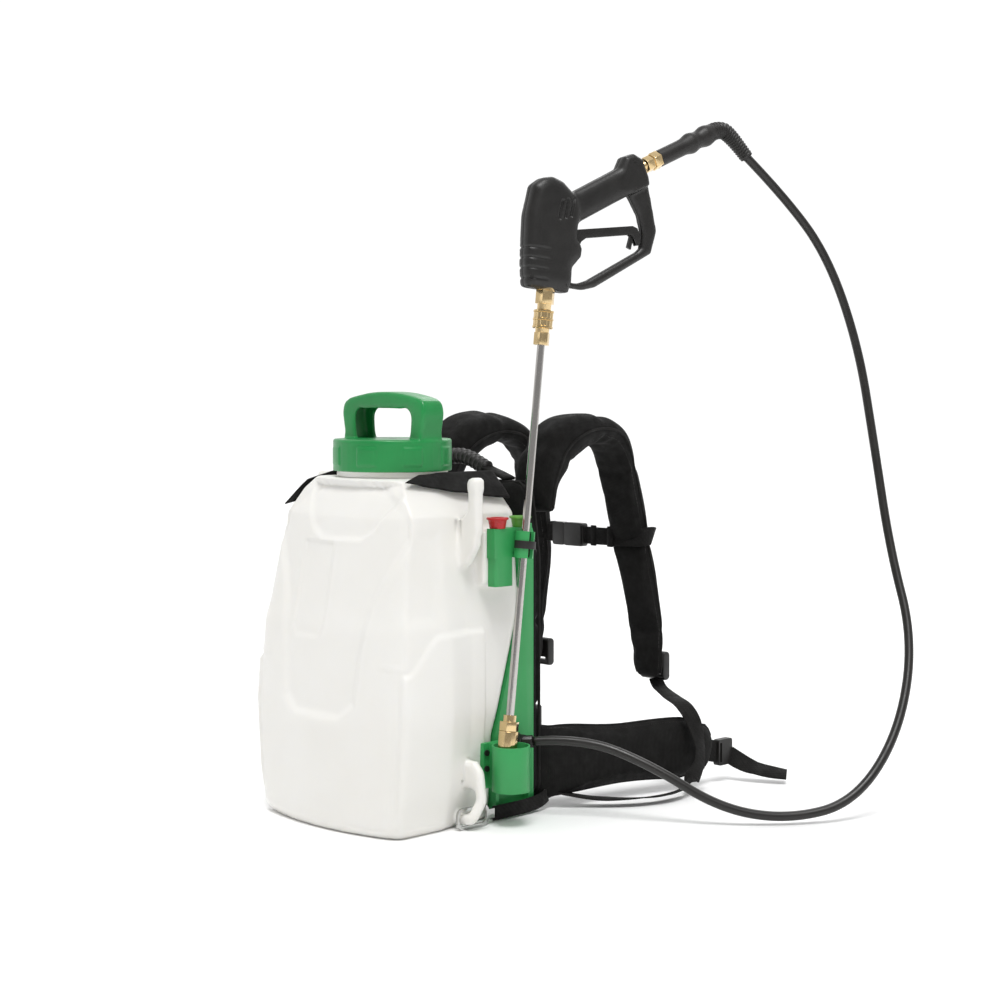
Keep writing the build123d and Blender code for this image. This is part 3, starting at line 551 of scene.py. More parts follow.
# ---------------- tank
# the tank's sections from the foot up, in mm: height, half width, y of the front's corners,
# y of its middle, half width behind, y of the back
TANK_LEVELS = [
    (0, 124, -101, -123, 116, 110), (12, 132, -109, -131, 122, 110),
    (143, 142, -110, -133, 130, 110), (250, 139, -104, -126, 129, 110),
    (275, 134, -99, -120, 127, 110), (390, 121, -82, -100, 117, 110),
    (420, 98, -72, -86, 96, 102), (436, 82, -62, -77, 80, 90),
]


def tank_level(z):
    for low, high in zip(TANK_LEVELS, TANK_LEVELS[1:]):
        if z <= high[0]:
            t = (z - low[0]) / (high[0] - low[0])
            return [a + (b - a) * t for a, b in zip(low[1:], high[1:])]
    return list(TANK_LEVELS[-1][1:])


NICHE_BACK, FULL_BACK = 60, 110  # y of the back inside the base's niche and above it
NICHE_TOP, SLOPE_TOP = 109, 276  # between these heights the back slopes out
FRONT_ROUND = 14  # corner radius at the front
FRONT_STEPS, ROUND_STEPS = 13, 7


def tank_outline(z):
    """The tank's closed outline at a height, in mm."""
    half, corner, middle, rear, back = tank_level(z)
    if z < NICHE_TOP:
        back = NICHE_BACK
    elif z < SLOPE_TOP:
        back = min(back, NICHE_BACK + (FULL_BACK - NICHE_BACK) * (z - NICHE_TOP) / (SLOPE_TOP - NICHE_TOP))
    flat = half - FRONT_ROUND
    right = []
    for k in range(FRONT_STEPS + 1):
        x = flat * k / FRONT_STEPS
        right.append((x, middle + (corner - middle) * (x / half) ** 2))
    for k in range(1, ROUND_STEPS):
        a = math.radians(90 * k / ROUND_STEPS)
        right.append((flat + FRONT_ROUND * math.sin(a), corner + 10 - 12 * math.cos(a)))
    right += [(half, corner + 24), (half, -60), (half, -30), (rear, 12), (rear, 30), (rear, back - 10)]
    right += [(rear - 3, back - 3), (rear - 10, back), (rear * 0.5, back)]
    left = [(-x, y) for x, y in reversed(right[1:])]
    return right + [(0, back)] + left


def tank_body():
    heights = [0, 4, 12] + list(range(24, NICHE_TOP, 12)) + list(range(NICHE_TOP, SLOPE_TOP, 12))
    heights += [SLOPE_TOP] + list(range(288, 390, 12)) + [390, 400, 410, 420, 428, 436]
    rings = [[Vector((x, y, z)) / 1000 for x, y in tank_outline(z)] for z in heights]
    verts = [v for ring in rings for v in ring]
    return new_object("tank_body", verts, tube_faces(len(rings), len(rings[0])), HDPE)


def block(name, low, high, material):
    (x0, y0, z0), (x1, y1, z1) = low, high
    verts = [Vector(v) / 1000 for v in ((x0, y0, z0), (x1, y0, z0), (x1, y1, z0), (x0, y1, z0),
                                        (x0, y0, z1), (x1, y0, z1), (x1, y1, z1), (x0, y1, z1))]
    faces = [(3, 2, 1, 0), (4, 5, 6, 7), (0, 1, 5, 4), (1, 2, 6, 5), (2, 3, 7, 6), (3, 0, 4, 7)]
    return new_object(name, verts, faces, material)


def inside_distance(point, outline):
    """Signed distance to an outline: above 0 inside it."""
    x, y = point
    nearest, inside = 1e9, False
    for (ax, ay), (bx, by) in zip(outline, outline[1:] + outline[:1]):
        dx, dy = bx - ax, by - ay
        t = max(0.0, min(1.0, ((x - ax) * dx + (y - ay) * dy) / (dx * dx + dy * dy)))
        nearest = min(nearest, math.hypot(x - ax - t * dx, y - ay - t * dy))
        if (ay > y) != (by > y) and x < (bx - ax) * (y - ay) / (by - ay) + ax:
            inside = not inside
    return nearest if inside else -nearest


# outlines of the front's sunk fields in (x, z), and of the side's in (y, z), all in mm
MIDDLE_PANEL = [
    (-66, 160), (-42, 141), (42, 141), (68, 160), (74, 219), (83, 280), (98, 315), (126, 362), (140, 380),
    (60, 440), (-60, 440), (-140, 380), (-126, 362), (-98, 315), (-83, 280), (-74, 219),
]
BIB = [(-78, 440), (-72, 414), (-50, 374), (-26, 360), (50, 362), (66, 372), (98, 413), (120, 440)]
LABEL = [(-60, 358), (-62, 250), (-54, 238), (-6, 238), (2, 250), (2, 358)]
CHEEK = [(-96, 262), (-50, 262), (-34, 330), (-34, 372), (-70, 372), (-84, 330)]
PANEL_DEPTH, BIB_DEPTH, LABEL_DEPTH, CHEEK_DEPTH = 5.5, 4.0, 2.4, 2.2
BIB_BEAD, CORNER_STEP, FLANK_RISE = 1.3, 1.5, 4.5
POST_SWELL = 0.0014


def tank_relief(co, normal):
    """How far the skin stands proud at a point, in metres."""
    x, y, z = co * 1000
    shift = 0.0
    if abs(x) > tank_level(z)[0] + 3:
        return POST_SWELL * eased(z, 416, 426) * (1 - eased(z, 434, 440))
    front = eased(-normal.y, 0.25, 0.6)
    if front > 0 and z < 432:
        panel = inside_distance((x, z), MIDDLE_PANEL)
        shift -= PANEL_DEPTH * eased(panel, -6, 9) * front
        bib = inside_distance((x, z), BIB)
        shift -= BIB_DEPTH * eased(bib, -3, 4) * front
        shift += BIB_BEAD * bell(bib, 4.5) * front
        shift -= LABEL_DEPTH * eased(inside_distance((x, z), LABEL), -2, 3) * front
        shift += CORNER_STEP * bell(z - 210, 3.0) * eased(abs(x), 100, 110) * front
    side = eased(abs(normal.x), 0.45, 0.8)
    if side > 0 and y < 40:
        top = 200 + 45 * eased(y, -105, -46)
        shift += FLANK_RISE * eased(top - z, -4, 4) * side * eased(z, 10, 60)
        shift -= CHEEK_DEPTH * eased(inside_distance((y, z), CHEEK), -8, 10) * side
    return shift / 1000


MOUTH_RADIUS, MOUTH_FOOT = 0.0655, 0.425  # the opening under the lid
WALL = 0.003


def make_tank():
    """The blow-moulded skin with its lugs and posts, open under the filler neck."""
    parts = [tank_body(), block("boss", (108, 30, 302), (140, 70, 371), HDPE)]
    for side in (-1, 1):
        low, high = sorted((side * 112, side * 149))
        parts.append(block("lug_web", (low, 1.5, 50), (high, 13.5, 84), HDPE))
    parts.append(copy_of("strap_anchors", "anchors_copy"))
    skin = joined("tank_skin", parts, HDPE)
    remeshed(skin, 0.003, 6)
    mesh = skin.data
    normals = [v.normal.copy() for v in mesh.vertices]
    for vertex, normal in zip(mesh.vertices, normals):
        vertex.co += normal * tank_relief(vertex.co, normal)
        vertex.co.z = max(vertex.co.z, 0.0)
    work = bmesh.new()
    work.from_mesh(mesh)
    centers = {f: f.calc_center_median() for f in work.faces}
    gone = [f for f, center in centers.items() if center.z > MOUTH_FOOT and center.xy.length < MOUTH_RADIUS]
    bmesh.ops.delete(work, geom=gone, context="FACES")
    for edge in work.edges:
        if edge.is_boundary:
            for v in edge.verts:
                v.co.xy = v.co.xy.normalized() * MOUTH_RADIUS
    work.to_mesh(mesh)
    work.free()
    add_wall(skin, WALL, -1)
    apply_modifiers(skin)
    return stands_for(skin, "tank", "strap_anchors")


make_tank()
softened("filler_neck", 0.001, 2)

# ---------------- rounded hard parts
LEFT_HANG = (0.021, 0.012)  # the left strap hangs this far out and back, clear of the chest buckle
EDGES = {
    "chassis": 0.002, "nozzle_cup": 0.0012, "lance_clip": 0.0012, "power_knob": 0.0012,
    "spray_tip_red": 0.0008, "spray_tip_green": 0.0008, "nozzle_nut": 0.0008, "nozzle_body": 0.0008,
    "lance_nut": 0.0008, "coupler_body": 0.0008, "inlet_fitting": 0.0008,
    "swivel_nut": 0.0008, "trigger": 0.0018, "battery_pack": 0.0012, "chest_buckle_female": 0.0018,
    "chest_buckle_male": 0.0014, "waist_buckle_male": 0.002, "waist_buckle_female": 0.002,
    "adjusters": 0.003, "snap_hooks": 0.0014, "snap_gate_right": 0.0006, "snap_gate_left": 0.0006,
    "clip_band": 0.0005, "outlet_elbow": 0.0016,
}
for name, width in EDGES.items():
    softened(name, width)
for vertex in bpy.data.objects["adjusters_finish"].data.vertices:
    if vertex.co.x < 0:
        vertex.co.xy -= Vector(LEFT_HANG)

LID_CELLS, LID_CELL = 60, 0.002  # the handle's top is sampled in cells this wide
HANDLE_FOOT, HANDLE_BASE = 0.488, 0.500
ARCH_TOP, ARCH_DROP, ARCH_HALF = 0.5455, 0.0115, 0.076
SHOULDER_DROP = 0.010
LEG_SPREAD = 0.004


def make_lid():
    """Lid with crisp pads on its skirt and a smooth, softly arched handle."""
    lid = joined("lid_skin", [copy_of("lid", "lid_copy")], GREEN_LID)
    remeshed(lid, 0.0014, 2)

    def cell_of(x):
        return min(LID_CELLS - 1, int(abs(x) / LID_CELL))

    tops = [0.0] * LID_CELLS
    for vertex in lid.data.vertices:
        cell = cell_of(vertex.co.x)
        tops[cell] = max(tops[cell], vertex.co.z)
    for vertex in lid.data.vertices:
        x, _, z = vertex.co
        if z < HANDLE_FOOT:
            continue
        top = tops[cell_of(x)]
        wanted = ARCH_TOP - ARCH_DROP * (abs(x) / ARCH_HALF) ** 2.2
        wanted -= SHOULDER_DROP * eased(abs(x), 0.070, 0.079)
        share = max(0.0, min(1.0, (z - HANDLE_BASE) / max(0.004, top - HANDLE_BASE)))
        if top > HANDLE_BASE + 0.002:
            vertex.co.z += share * (wanted - top)
        spread = LEG_SPREAD * eased(z, 0.490, 0.512) * eased(abs(x), 0.045, 0.068)
        vertex.co.x += math.copysign(spread, x)
    group = lid.vertex_groups.new(name="handle")
    for vertex in lid.data.vertices:
        weight = eased(vertex.co.z, 0.486, 0.496)
        if weight > 0:
            group.add([vertex.index], weight, "REPLACE")
    add_smoothing(lid, 50, "handle")
    apply_modifiers(lid)
    return stands_for(lid, "lid")


make_lid()

# ---------------- spray gun
LANCE_FOOT = Vector((0.165, 0.0411, 0.062))
LEAN = math.radians(6.87)  # the parked wand leans forward this far
GUN_START = 0.6174  # the gun's origin along the lance
GUN_AIM = Vector((0.259, 0.966, 0.0))  # where the gun's handle points
GUN_UP = Vector((0.0, math.sin(LEAN), math.cos(LEAN)))
GUN_X = (GUN_AIM - GUN_UP * GUN_AIM.dot(GUN_UP)).normalized()
GUN_SIDE = GUN_X.cross(GUN_UP)
GUN_ORIGIN = LANCE_FOOT + GUN_UP * GUN_START


def gun_point(u, v, w=0.0):
    """The place of a point given in the gun's own mm."""
    return GUN_ORIGIN + (GUN_X * u + GUN_UP * v + GUN_SIDE * w) / 1000


def gun_spot(point):
    """A point in the gun's own mm: along the handle, along the lance, and sideways."""
    local = (point - GUN_ORIGIN) * 1000
    return local.dot(GUN_X), local.dot(GUN_UP), local.dot(GUN_SIDE)


GUN_OUTLINE = [
    (-33, 0), (-38, 30), (-41, 92), (-35, 132), (-22, 143), (-8, 147), (8, 143), (24, 131), (92, 175),
    (98, 191), (112, 198), (127, 193), (138, 172), (148, 143), (161, 102), (155, 71), (72, 14), (54, 8),
    (30, 8), (30, 0),
]
GRIP_OPENING = [
    (38, 86), (42, 96), (112, 142), (130, 118), (138, 96), (138, 76), (132, 70), (60, 22), (46, 16), (34, 15),
    (32, 33), (43, 48), (44, 66), (38, 72),
]


def guard_share(u, v, lead=0):
    """0 on the gun's body and handle, 1 on its thin guard; it starts lead mm nearer the body."""
    if v > 60:
        return eased(u + v * 0.2, 118 - lead, 140 - lead)
    return eased(u, 34 - lead, 44 - lead)


def gun_thickness(u, v):
    """Share of the flat shell's thickness left at a point, so that its section is round."""
    depth = max(0.0, min(inside_distance((u, v), GUN_OUTLINE), -inside_distance((u, v), GRIP_OPENING)))
    radius = 17 - 9 * guard_share(u, v)
    return 0.42 + 0.58 * math.sqrt(1 - (1 - min(depth / radius, 1.0)) ** 2)


LIP, RIDGE, BAND, CHAMFER = 0.0133, 0.0134, 0.0125, 0.0122  # radii of the coupler's sleeve
FLUTES, FLUTE_DEPTH = 14, 0.0009
SLEEVE_TURNS = 84


def fluted_sleeve():
    """The quick coupler's sliding sleeve: three lips with fluted bands between them."""
    across = GUN_UP.cross(GUN_SIDE)
    spots = [v.co - LANCE_FOOT for v in nodes["coupler_sleeve"].data.vertices]
    low, high = min(p.dot(GUN_UP) for p in spots), max(p.dot(GUN_UP) for p in spots)
    bore = min((p - GUN_UP * p.dot(GUN_UP)).length for p in spots)
    middle = (low + high) / 2
    profile = [
        (bore, low), (CHAMFER, low), (LIP, low + 0.0009), (LIP, low + 0.0028), (BAND, low + 0.0034),
        (BAND, middle - 0.0016), (RIDGE, middle - 0.0010), (RIDGE, middle + 0.0010), (BAND, middle + 0.0016),
        (BAND, high - 0.0034), (LIP, high - 0.0028), (LIP, high - 0.0009), (CHAMFER, high), (bore, high),
    ]
    verts, faces = [], []
    for k in range(SLEEVE_TURNS):
        turn = 2 * math.pi * k / SLEEVE_TURNS
        out = GUN_SIDE * math.cos(turn) + across * math.sin(turn)
        for radius, along in profile:
            if radius == BAND:
                radius -= FLUTE_DEPTH * (0.5 + 0.5 * math.cos(FLUTES * turn))
            verts.append(LANCE_FOOT + GUN_UP * along + out * radius)
    rows = len(profile)
    for k in range(SLEEVE_TURNS):
        for i in range(rows):
            a, b = k * rows + i, k * rows + (i + 1) % rows
            after = (k + 1) % SLEEVE_TURNS * rows
            faces.append((a, after + i, after + (i + 1) % rows, b))
    sleeve_skin = new_object("coupler_sleeve_skin", verts, faces, BRASS)
    sleeve_skin.data.set_sharp_from_angle(angle=math.radians(40))
    return stands_for(sleeve_skin, "coupler_sleeve")


fluted_sleeve()


GROOVE_DEPTH, GROOVE_PITCH = 1.6, 13
VENT_DEPTH, VENT_PITCH, VENT_MIDDLE = 3.0, 8, 104
PARTING_DEPTH = 0.5


def gun_relief(u, v, w):
    """How far the gun's skin stands proud, in mm: rear grooves, three vents and the parting line."""
    shift = 0.0
    for k in range(4):
        line = 12 + GROOVE_PITCH * k
        shift -= GROOVE_DEPTH * bell(v - line, 1.4) * eased(-u, 4, 12)
    for k in range(3):
        across = abs(u - (4 + VENT_PITCH * k) - (v - VENT_MIDDLE) * 0.12)
        ends = eased(14 - abs(v - VENT_MIDDLE - 3 * k), 0, 2)
        shift -= VENT_DEPTH * eased(2.4 - across, 0, 1.2) * ends * eased(abs(w), 8, 13)
    shift -= PARTING_DEPTH * bell(w, 0.9)
    return shift


def make_gun():
    """Both shells as one skin, rounded across and grooved."""
    copies = [copy_of(node, node + "_copy") for node in ("gun_shell_right", "gun_shell_left")]
    shell = joined("gun_skin", copies, BLACK)
    remeshed(shell, 0.0014, 22)
    for vertex in shell.data.vertices:
        u, v, w = gun_spot(vertex.co)
        vertex.co += GUN_SIDE * (w * (gun_thickness(u, v) - 1)) / 1000
    group = shell.vertex_groups.new(name="body")
    for vertex in shell.data.vertices:
        u, v, _ = gun_spot(vertex.co)
        group.add([vertex.index], 1 - 0.85 * guard_share(u, v, 6), "REPLACE")
    add_smoothing(shell, 42, "body")
    apply_modifiers(shell)
    normals = [v.normal.copy() for v in shell.data.vertices]
    for vertex, normal in zip(shell.data.vertices, normals):
        vertex.co += normal * gun_relief(*gun_spot(vertex.co)) / 1000
    return stands_for(shell, "gun_shell_right", "gun_shell_left")


SCREW_SINK = 0.8  # mm


def seat_screws():
    """Draws the screws in to the rounded shell, so that their heads sit in it."""
    screws = copy_of("gun_screws", "gun_screws_seated")
    for vertex in screws.data.vertices:
        u, v, w = gun_spot(vertex.co)
        vertex.co += GUN_SIDE * (w * (gun_thickness(u, v) - 1) - math.copysign(SCREW_SINK, w)) / 1000
    return stands_for(screws, "gun_screws")


make_gun()
seat_screws()

# bend restrictor over the hose's end, smooth and bulged by the gun and ribbed towards the hose
SLEEVE_REACH = 0.004  # it covers this much of the hose
hose_end, hose_before = Vector(HOSE_ROUTE[-1]), Vector(HOSE_ROUTE[-2])
SLEEVE = [gun_point(u, v) for u, v in
          ((157.2, 199.4), (181, 213.8), (204, 228), (229, 243.2), (250, 257), (269, 255))]
SLEEVE.append(hose_end + (hose_before - hose_end).normalized() * SLEEVE_REACH)
RIB_PITCH, RIB_HEIGHT = 0.0042, 0.0007


def sleeve_ring(share, along):
    radius = 0.0114 - 0.0022 * eased(share, 0.6, 1)
    radius += 0.0030 * bell(share - 0.34, 0.05)
    radius += 0.0032 * bell(share - 0.50, 0.06)
    ribs = eased(share, 0.56, 0.6) * eased(1 - share, 0.0, 0.03)
    radius += RIB_HEIGHT * math.sin(2 * math.pi * along / RIB_PITCH) * ribs
    return round_ring(radius, 28)


sleeve_line = even_line(nurbs_line(SLEEVE, "sleeve_route", 20), 0.0006)
sleeve = swept("bend_restrictor_skin", sleeve_line, sleeve_ring, RUBBER)
stands_for(sleeve, "bend_restrictor")
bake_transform(hose)

# ---------------- harness
THREAD = plastic("thread", (0.035, 0.034, 0.032), 0.6, (0.05, 0.048, 0.045))


PIPING_RADIUS, PAD_PIPING_RADIUS = 0.0017, 0.0019
BAND_STEP = 0.006


def padded_band(name, node, points, up, widths, thicknesses, seams, cap):
    """A padded band with piping on both edges and sewn seams across it."""
    line = even_line(nurbs_line(points, name, 16), BAND_STEP)

    def pinch_at(share):
        return 1 - sum(depth * bell(share - at, 0.012) for at, depth in seams)

    def width_at(share):
        round_off = 0.6 + 0.4 * math.sqrt(min(1.0, max(0.0, 1 - share) / 0.035))
        return blend_between(widths, share) * round_off * (0.5 + 0.5 * min(1.0, pinch_at(share) + 0.6))

    def ring(share, along):
        ends = min(1.0, math.sqrt(max(0.0, min(share, 1 - share)) / 0.03) + 0.25)
        return pad_ring(width_at(share), blend_between(thicknesses, share) * pinch_at(share) * ends)

    band = swept(name, line, ring, FABRIC, up=up)
    puffed(band, cap)
    skin = [v.co.copy() for v in band.data.vertices]
    subdivided(band)
    stands_for(band, node)
    frames = frames_along(line, up)
    for label, sign, at in (("a", -1, PAD_SIDES // 2), ("b", 1, 0)):
        edge = [skin[i * PAD_SIDES + at] + frames[i][2] * sign * 0.0004 for i in range(1, len(frames) - 1)]
        piping = swept(name + "_piping_" + label, edge, lambda share, along: round_ring(PIPING_RADIUS, 8),
                       PIPING, up=up)
        rides(piping, body_of[node])
        inset = at - sign * 3
        seam = [skin[i * PAD_SIDES + inset] + frames[i][3] * 0.0003 for i in range(2, len(frames) - 2)]
        row = stitches(name + "_stitches_" + label, seam, [f[3] for f in frames[2:-2]], THREAD)
        rides(row, body_of[node])
    return band


# widths and thicknesses go by share of the strap's route; a seam is its place and its depth
STRAP_WIDTHS = [
    (0, 0.076), (0.12, 0.074), (0.3, 0.068), (0.56, 0.064), (0.7, 0.060), (0.86, 0.056), (1, 0.046),
]
STRAP_THICK = [
    (0, 0.018), (0.05, 0.022), (0.14, 0.046), (0.21, 0.052), (0.28, 0.044), (0.36, 0.032), (0.45, 0.024),
    (0.85, 0.020), (1, 0.016),
]
STRAP_SEAMS = [(0.14, 0.3), (0.30, 0.35), (0.47, 0.18), (0.665, 0.3), (0.885, 0.4), (0.935, 0.3)]
STRAP_ROUTE = [
    (0.096, 0.1665, 0.384), (0.096, 0.168, 0.412), (0.096, 0.182, 0.452), (0.094, 0.206, 0.480),
    (0.092, 0.255, 0.496), (0.088, 0.312, 0.490), (0.084, 0.344, 0.450), (0.079, 0.366, 0.398),
    (0.076, 0.384, 0.345), (0.081, 0.390, 0.300), (0.090, 0.390, 0.255), (0.097, 0.391, 0.205),
    (0.098, 0.393, 0.142),
]
BELT_WIDTHS = [(0, 0.104), (0.15, 0.098), (0.5, 0.086), (0.8, 0.090), (0.93, 0.074), (1, 0.044)]
BELT_THICK = [(0, 0.014), (0.2, 0.017), (0.8, 0.016), (1, 0.010)]
BELT_SEAMS = [(0.30, 0.12), (0.86, 0.3)]
BELT_ROUTE = [
    (0.100, 0.136, 0.060), (0.122, 0.148, 0.060), (0.136, 0.180, 0.062), (0.150, 0.250, 0.060),
    (0.166, 0.322, 0.060), (0.181, 0.386, 0.056), (0.187, 0.425, 0.046),
]
HANG_TOP, HANG_EASE = 0.46, 0.1  # the left strap drifts out below this height, over this drop
for side, label in ((1, "right"), (-1, "left")):
    out, back = LEFT_HANG if side < 0 else (0.0, 0.0)
    route = []
    for x, y, z in STRAP_ROUTE:
        drift = eased(HANG_TOP - z, 0, HANG_EASE)
        route.append((side * (x + out * drift), y - back * drift, z))
    padded_band("shoulder_strap_" + label + "_pad", "shoulder_strap_" + label, route, Vector((0, 1, 0)),
                STRAP_WIDTHS, STRAP_THICK, STRAP_SEAMS, 0.005)
    belt = [(side * x, y, z) for x, y, z in BELT_ROUTE]
    padded_band("waist_belt_" + label + "_pad", "waist_belt_" + label, belt, Vector((1, 0, 0)),
                BELT_WIDTHS, BELT_THICK, BELT_SEAMS, 0.005)


PAD_FOOT, PAD_HEIGHT, PAD_REAR = 0.016, 0.412, 0.130
PAD_TOP = 0.428
PAD_HALF, PAD_NARROWING, PAD_STRAIGHT = 0.126, 0.014, 0.33  # narrower above PAD_STRAIGHT
PAD_CORNER = 0.02
PAD_CHANNELS = (0.135, 0.245, 0.345)
PIPING_STEPS = 80


def pad_half_width(z):
    wide = PAD_HALF if z < PAD_STRAIGHT else PAD_HALF - PAD_NARROWING * (z - PAD_STRAIGHT) / 0.098
    for end in (z - PAD_FOOT, PAD_TOP - z):
        if end < PAD_CORNER:
            wide -= PAD_CORNER - math.sqrt(max(0.0, PAD_CORNER ** 2 - (PAD_CORNER - end) ** 2))
    return wide


def pad_rise(x, z, wide):
    """How far the pad's wearer side stands out from its rear, in metres."""
    edge = min(wide - abs(x), z - PAD_FOOT, PAD_TOP - z)
    rise = 0.011 + 0.0125 * (1 - math.exp(-edge / 0.010))
    for at in PAD_CHANNELS:
        rise -= 0.0065 * bell(z - at, 0.006) * eased(abs(x), 0.018, 0.03)
    rise -= 0.0090 * math.exp(-(x / 0.013) ** 4)
    rise -= 0.0055 * bell(abs(x) - 0.100, 0.004)
    return max(0.008, rise)


def make_back_pad():
    """Padded panel: a crowned front with sewn channels and a flat rear."""
    across, rows = 60, 92
    verts, faces = [], []
    for front in (True, False):
        for j in range(rows + 1):
            z = PAD_FOOT + PAD_HEIGHT * j / rows
            wide = pad_half_width(z)
            for i in range(across + 1):
                x = (-1 + 2 * i / across) * wide
                rise = pad_rise(x, z, wide) if front else 0.0
                verts.append(Vector((x, PAD_REAR + rise, z)))
    row = across + 1
    base = row * (rows + 1)
    for j in range(rows):
        for i in range(across):
            a = j * row + i
            faces.append((a, a + row, a + row + 1, a + 1))
            faces.append((base + a, base + a + 1, base + a + row + 1, base + a + row))
    rim = [j * row for j in range(rows + 1)] + [rows * row + i for i in range(1, row)]
    rim += [j * row + across for j in range(rows - 1, -1, -1)] + [i for i in range(across - 1, 0, -1)]
    for a, b in zip(rim, rim[1:] + rim[:1]):
        faces.append((a, base + a, base + b, b))
    pad = new_object("back_pad_cushion", verts, faces, FABRIC)
    puffed(pad, 0.004, 2.0)
    stands_for(pad, "back_pad")
    for label, y in (("rear", 0.1335), ("front", 0.143)):
        heights = [0.0175 + 0.409 * k / PIPING_STEPS for k in range(PIPING_STEPS + 1)]
        loop = [Vector((pad_half_width(z) + 0.0004, y, z)) for z in heights]
        loop += [Vector((-p.x, p.y, p.z)) for p in reversed(loop)]
        piping = swept("back_pad_piping_" + label, loop,
                       lambda share, along: round_ring(PAD_PIPING_RADIUS, 8), PIPING, up=Vector((0, 1, 0)))
        rides(piping, ROOT)


make_back_pad()

# ---------------- webbing
Y_SIDE, Z_SIDE = (0, 1, 0), (0, 0, 1)
# each point of the right lower web's route, and the direction of its width there
LOWER_WEB = [
    ((0.100, 0.409, 0.140), (0.3, 0.9, 0)), ((0.104, 0.409, 0.129), (0.4, 0.9, 0)),
    ((0.128, 0.396, 0.125), (0.5, 0.8, 0.1)), ((0.156, 0.378, 0.122), (0.5, 0.8, 0.1)),
    ((0.188, 0.364, 0.118), (0.3, 0.8, 0.3)), ((0.206, 0.366, 0.096), (-0.1, 1, 0)),
    ((0.209, 0.376, 0.058), (0, 1, 0.1)), ((0.211, 0.367, 0.030), (0, 1, 0.6)),
    ((0.217, 0.328, 0.013), (1, 0.2, 0.5)), ((0.218, 0.290, 0.010), (1, 0, 0.3)),
    ((0.206, 0.254, 0.010), (1, -0.8, 0.2)), ((0.184, 0.222, 0.010), (1, -0.8, 0)),
    ((0.156, 0.196, 0.012), (1, -0.8, 0)), ((0.134, 0.170, 0.020), (1, -0.8, 0)),
]


def make_lower_webs():
    """Webs from the adjusters round to the tank's foot; the left one starts at the shifted adjuster."""
    webs = []
    for sign in (1, -1):
        points, sides = [], []
        for k, ((x, y, z), (a, b, c)) in enumerate(LOWER_WEB):
            drift = eased(4.5 - k, 0, 2.5) if sign < 0 else 0.0
            points.append((sign * (x + drift * LEFT_HANG[0]), y - drift * LEFT_HANG[1], z))
            sides.append((sign * a, b, c))
        webs.append(strip("lower_web", points, sides, 0.022, 0.0018))
    stands_for(joined("lower_webbing", webs, WEBBING), "lower_webs")


def make_base_straps():
    route = [(0.137, 0.048, 0.0115), (0.137, 0.08, 0.0115), (0.1372, 0.11, 0.012), (0.1355, 0.14, 0.014),
             (0.129, 0.156, 0.018)]
    straps = [strip("base", [(sign * x, y, z) for x, y, z in route], [Z_SIDE] * len(route), 0.0185, 0.003)
              for sign in (1, -1)]
    stands_for(joined("base_webbing", straps, WEBBING), "base_straps")


CHEST_Z = 0.339
CHEST_WEB = (0.0245, 0.0022)  # width and thickness
KEEPERS = ((0.077, 0.3865), (-0.1015, 0.3745))  # centres of the bands round the shoulder straps
KEEPER_STEPS = 24


def make_chest_strap():
    """Right webbing, a left stub as a separate object, bands round the straps, and two keepers."""
    right = [(0.0045, 0.366, CHEST_Z), (0.03, 0.3665, 0.3385), (0.05, 0.368, CHEST_Z),
             (0.078, 0.3725, CHEST_Z)]
    left = [(-0.0562, 0.366, CHEST_Z), (-0.066, 0.3655, CHEST_Z), (-0.076, 0.364, CHEST_Z),
            (-0.096, 0.363, CHEST_Z)]
    pieces = [strip("chest", right, [Z_SIDE] * 4, *CHEST_WEB)]
    stub = strip("chest_webbing_left", left, [Z_SIDE] * 4, *CHEST_WEB)
    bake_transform(stub)
    for x, y in KEEPERS:
        loop = []
        for k in range(KEEPER_STEPS + 1):
            turn = 2 * math.pi * (k / KEEPER_STEPS + 0.25)
            c, s = math.cos(turn), math.sin(turn)
            across = 0.0325 * math.copysign(abs(c) ** 0.4, c)
            deep = 0.0125 * math.copysign(abs(s) ** 0.6, s)
            loop.append((x + across, y + deep, CHEST_Z + 0.003 * c))
        pieces.append(strip("keeper_band", loop, [(0.1, 0.35, 0.93)] * len(loop), 0.026, 0.002))
    for at, depth in ((0.020, 0.004), (0.052, 0.0055)):
        points = [(at + shift, 0.3665, CHEST_Z) for shift in (-0.004, 0, 0.004)]
        pieces.append(strip("keeper", points, [Z_SIDE] * 3, 0.029, depth))
    stands_for(joined("chest_webbing", pieces, WEBBING), "chest_strap")


def make_belt_webbing():
    """The near belt tail, and the webbing between each belt wing and its buckle half."""
    tail = [(0.188, 0.462, 0.037), (0.204, 0.470, 0.026), (0.224, 0.482, 0.018), (0.244, 0.494, 0.014),
            (0.2575, 0.504, 0.012)]
    sides = [(0, 0.1, 1), (-0.3, 0.4, 0.9), (-0.4, 0.6, 0.5), (-0.4, 0.6, 0.45), (-0.4, 0.6, 0.3)]
    stands_for(strip("belt_tail_webbing", tail, sides, 0.024, 0.002), "belt_tail")
    route = [(0.180, 0.400, 0.052), (0.184, 0.420, 0.048), (0.187, 0.438, 0.043), (0.187, 0.456, 0.042)]
    ends = [strip("belt_end", [(sign * x, y, z) for x, y, z in route], [Z_SIDE] * 4, 0.030, 0.003)
            for sign in (1, -1)]
    rides(joined("belt_end_webbing", ends, WEBBING), ROOT)


GRIP_RADIUS, GRIP_RIB, GRIP_PITCH = 0.0096, 0.0013, 0.0085


def grip_ring(share, along):
    ribs = max(0.0, math.sin(2 * math.pi * along / GRIP_PITCH))
    return round_ring(GRIP_RADIUS + GRIP_RIB * ribs, 24)


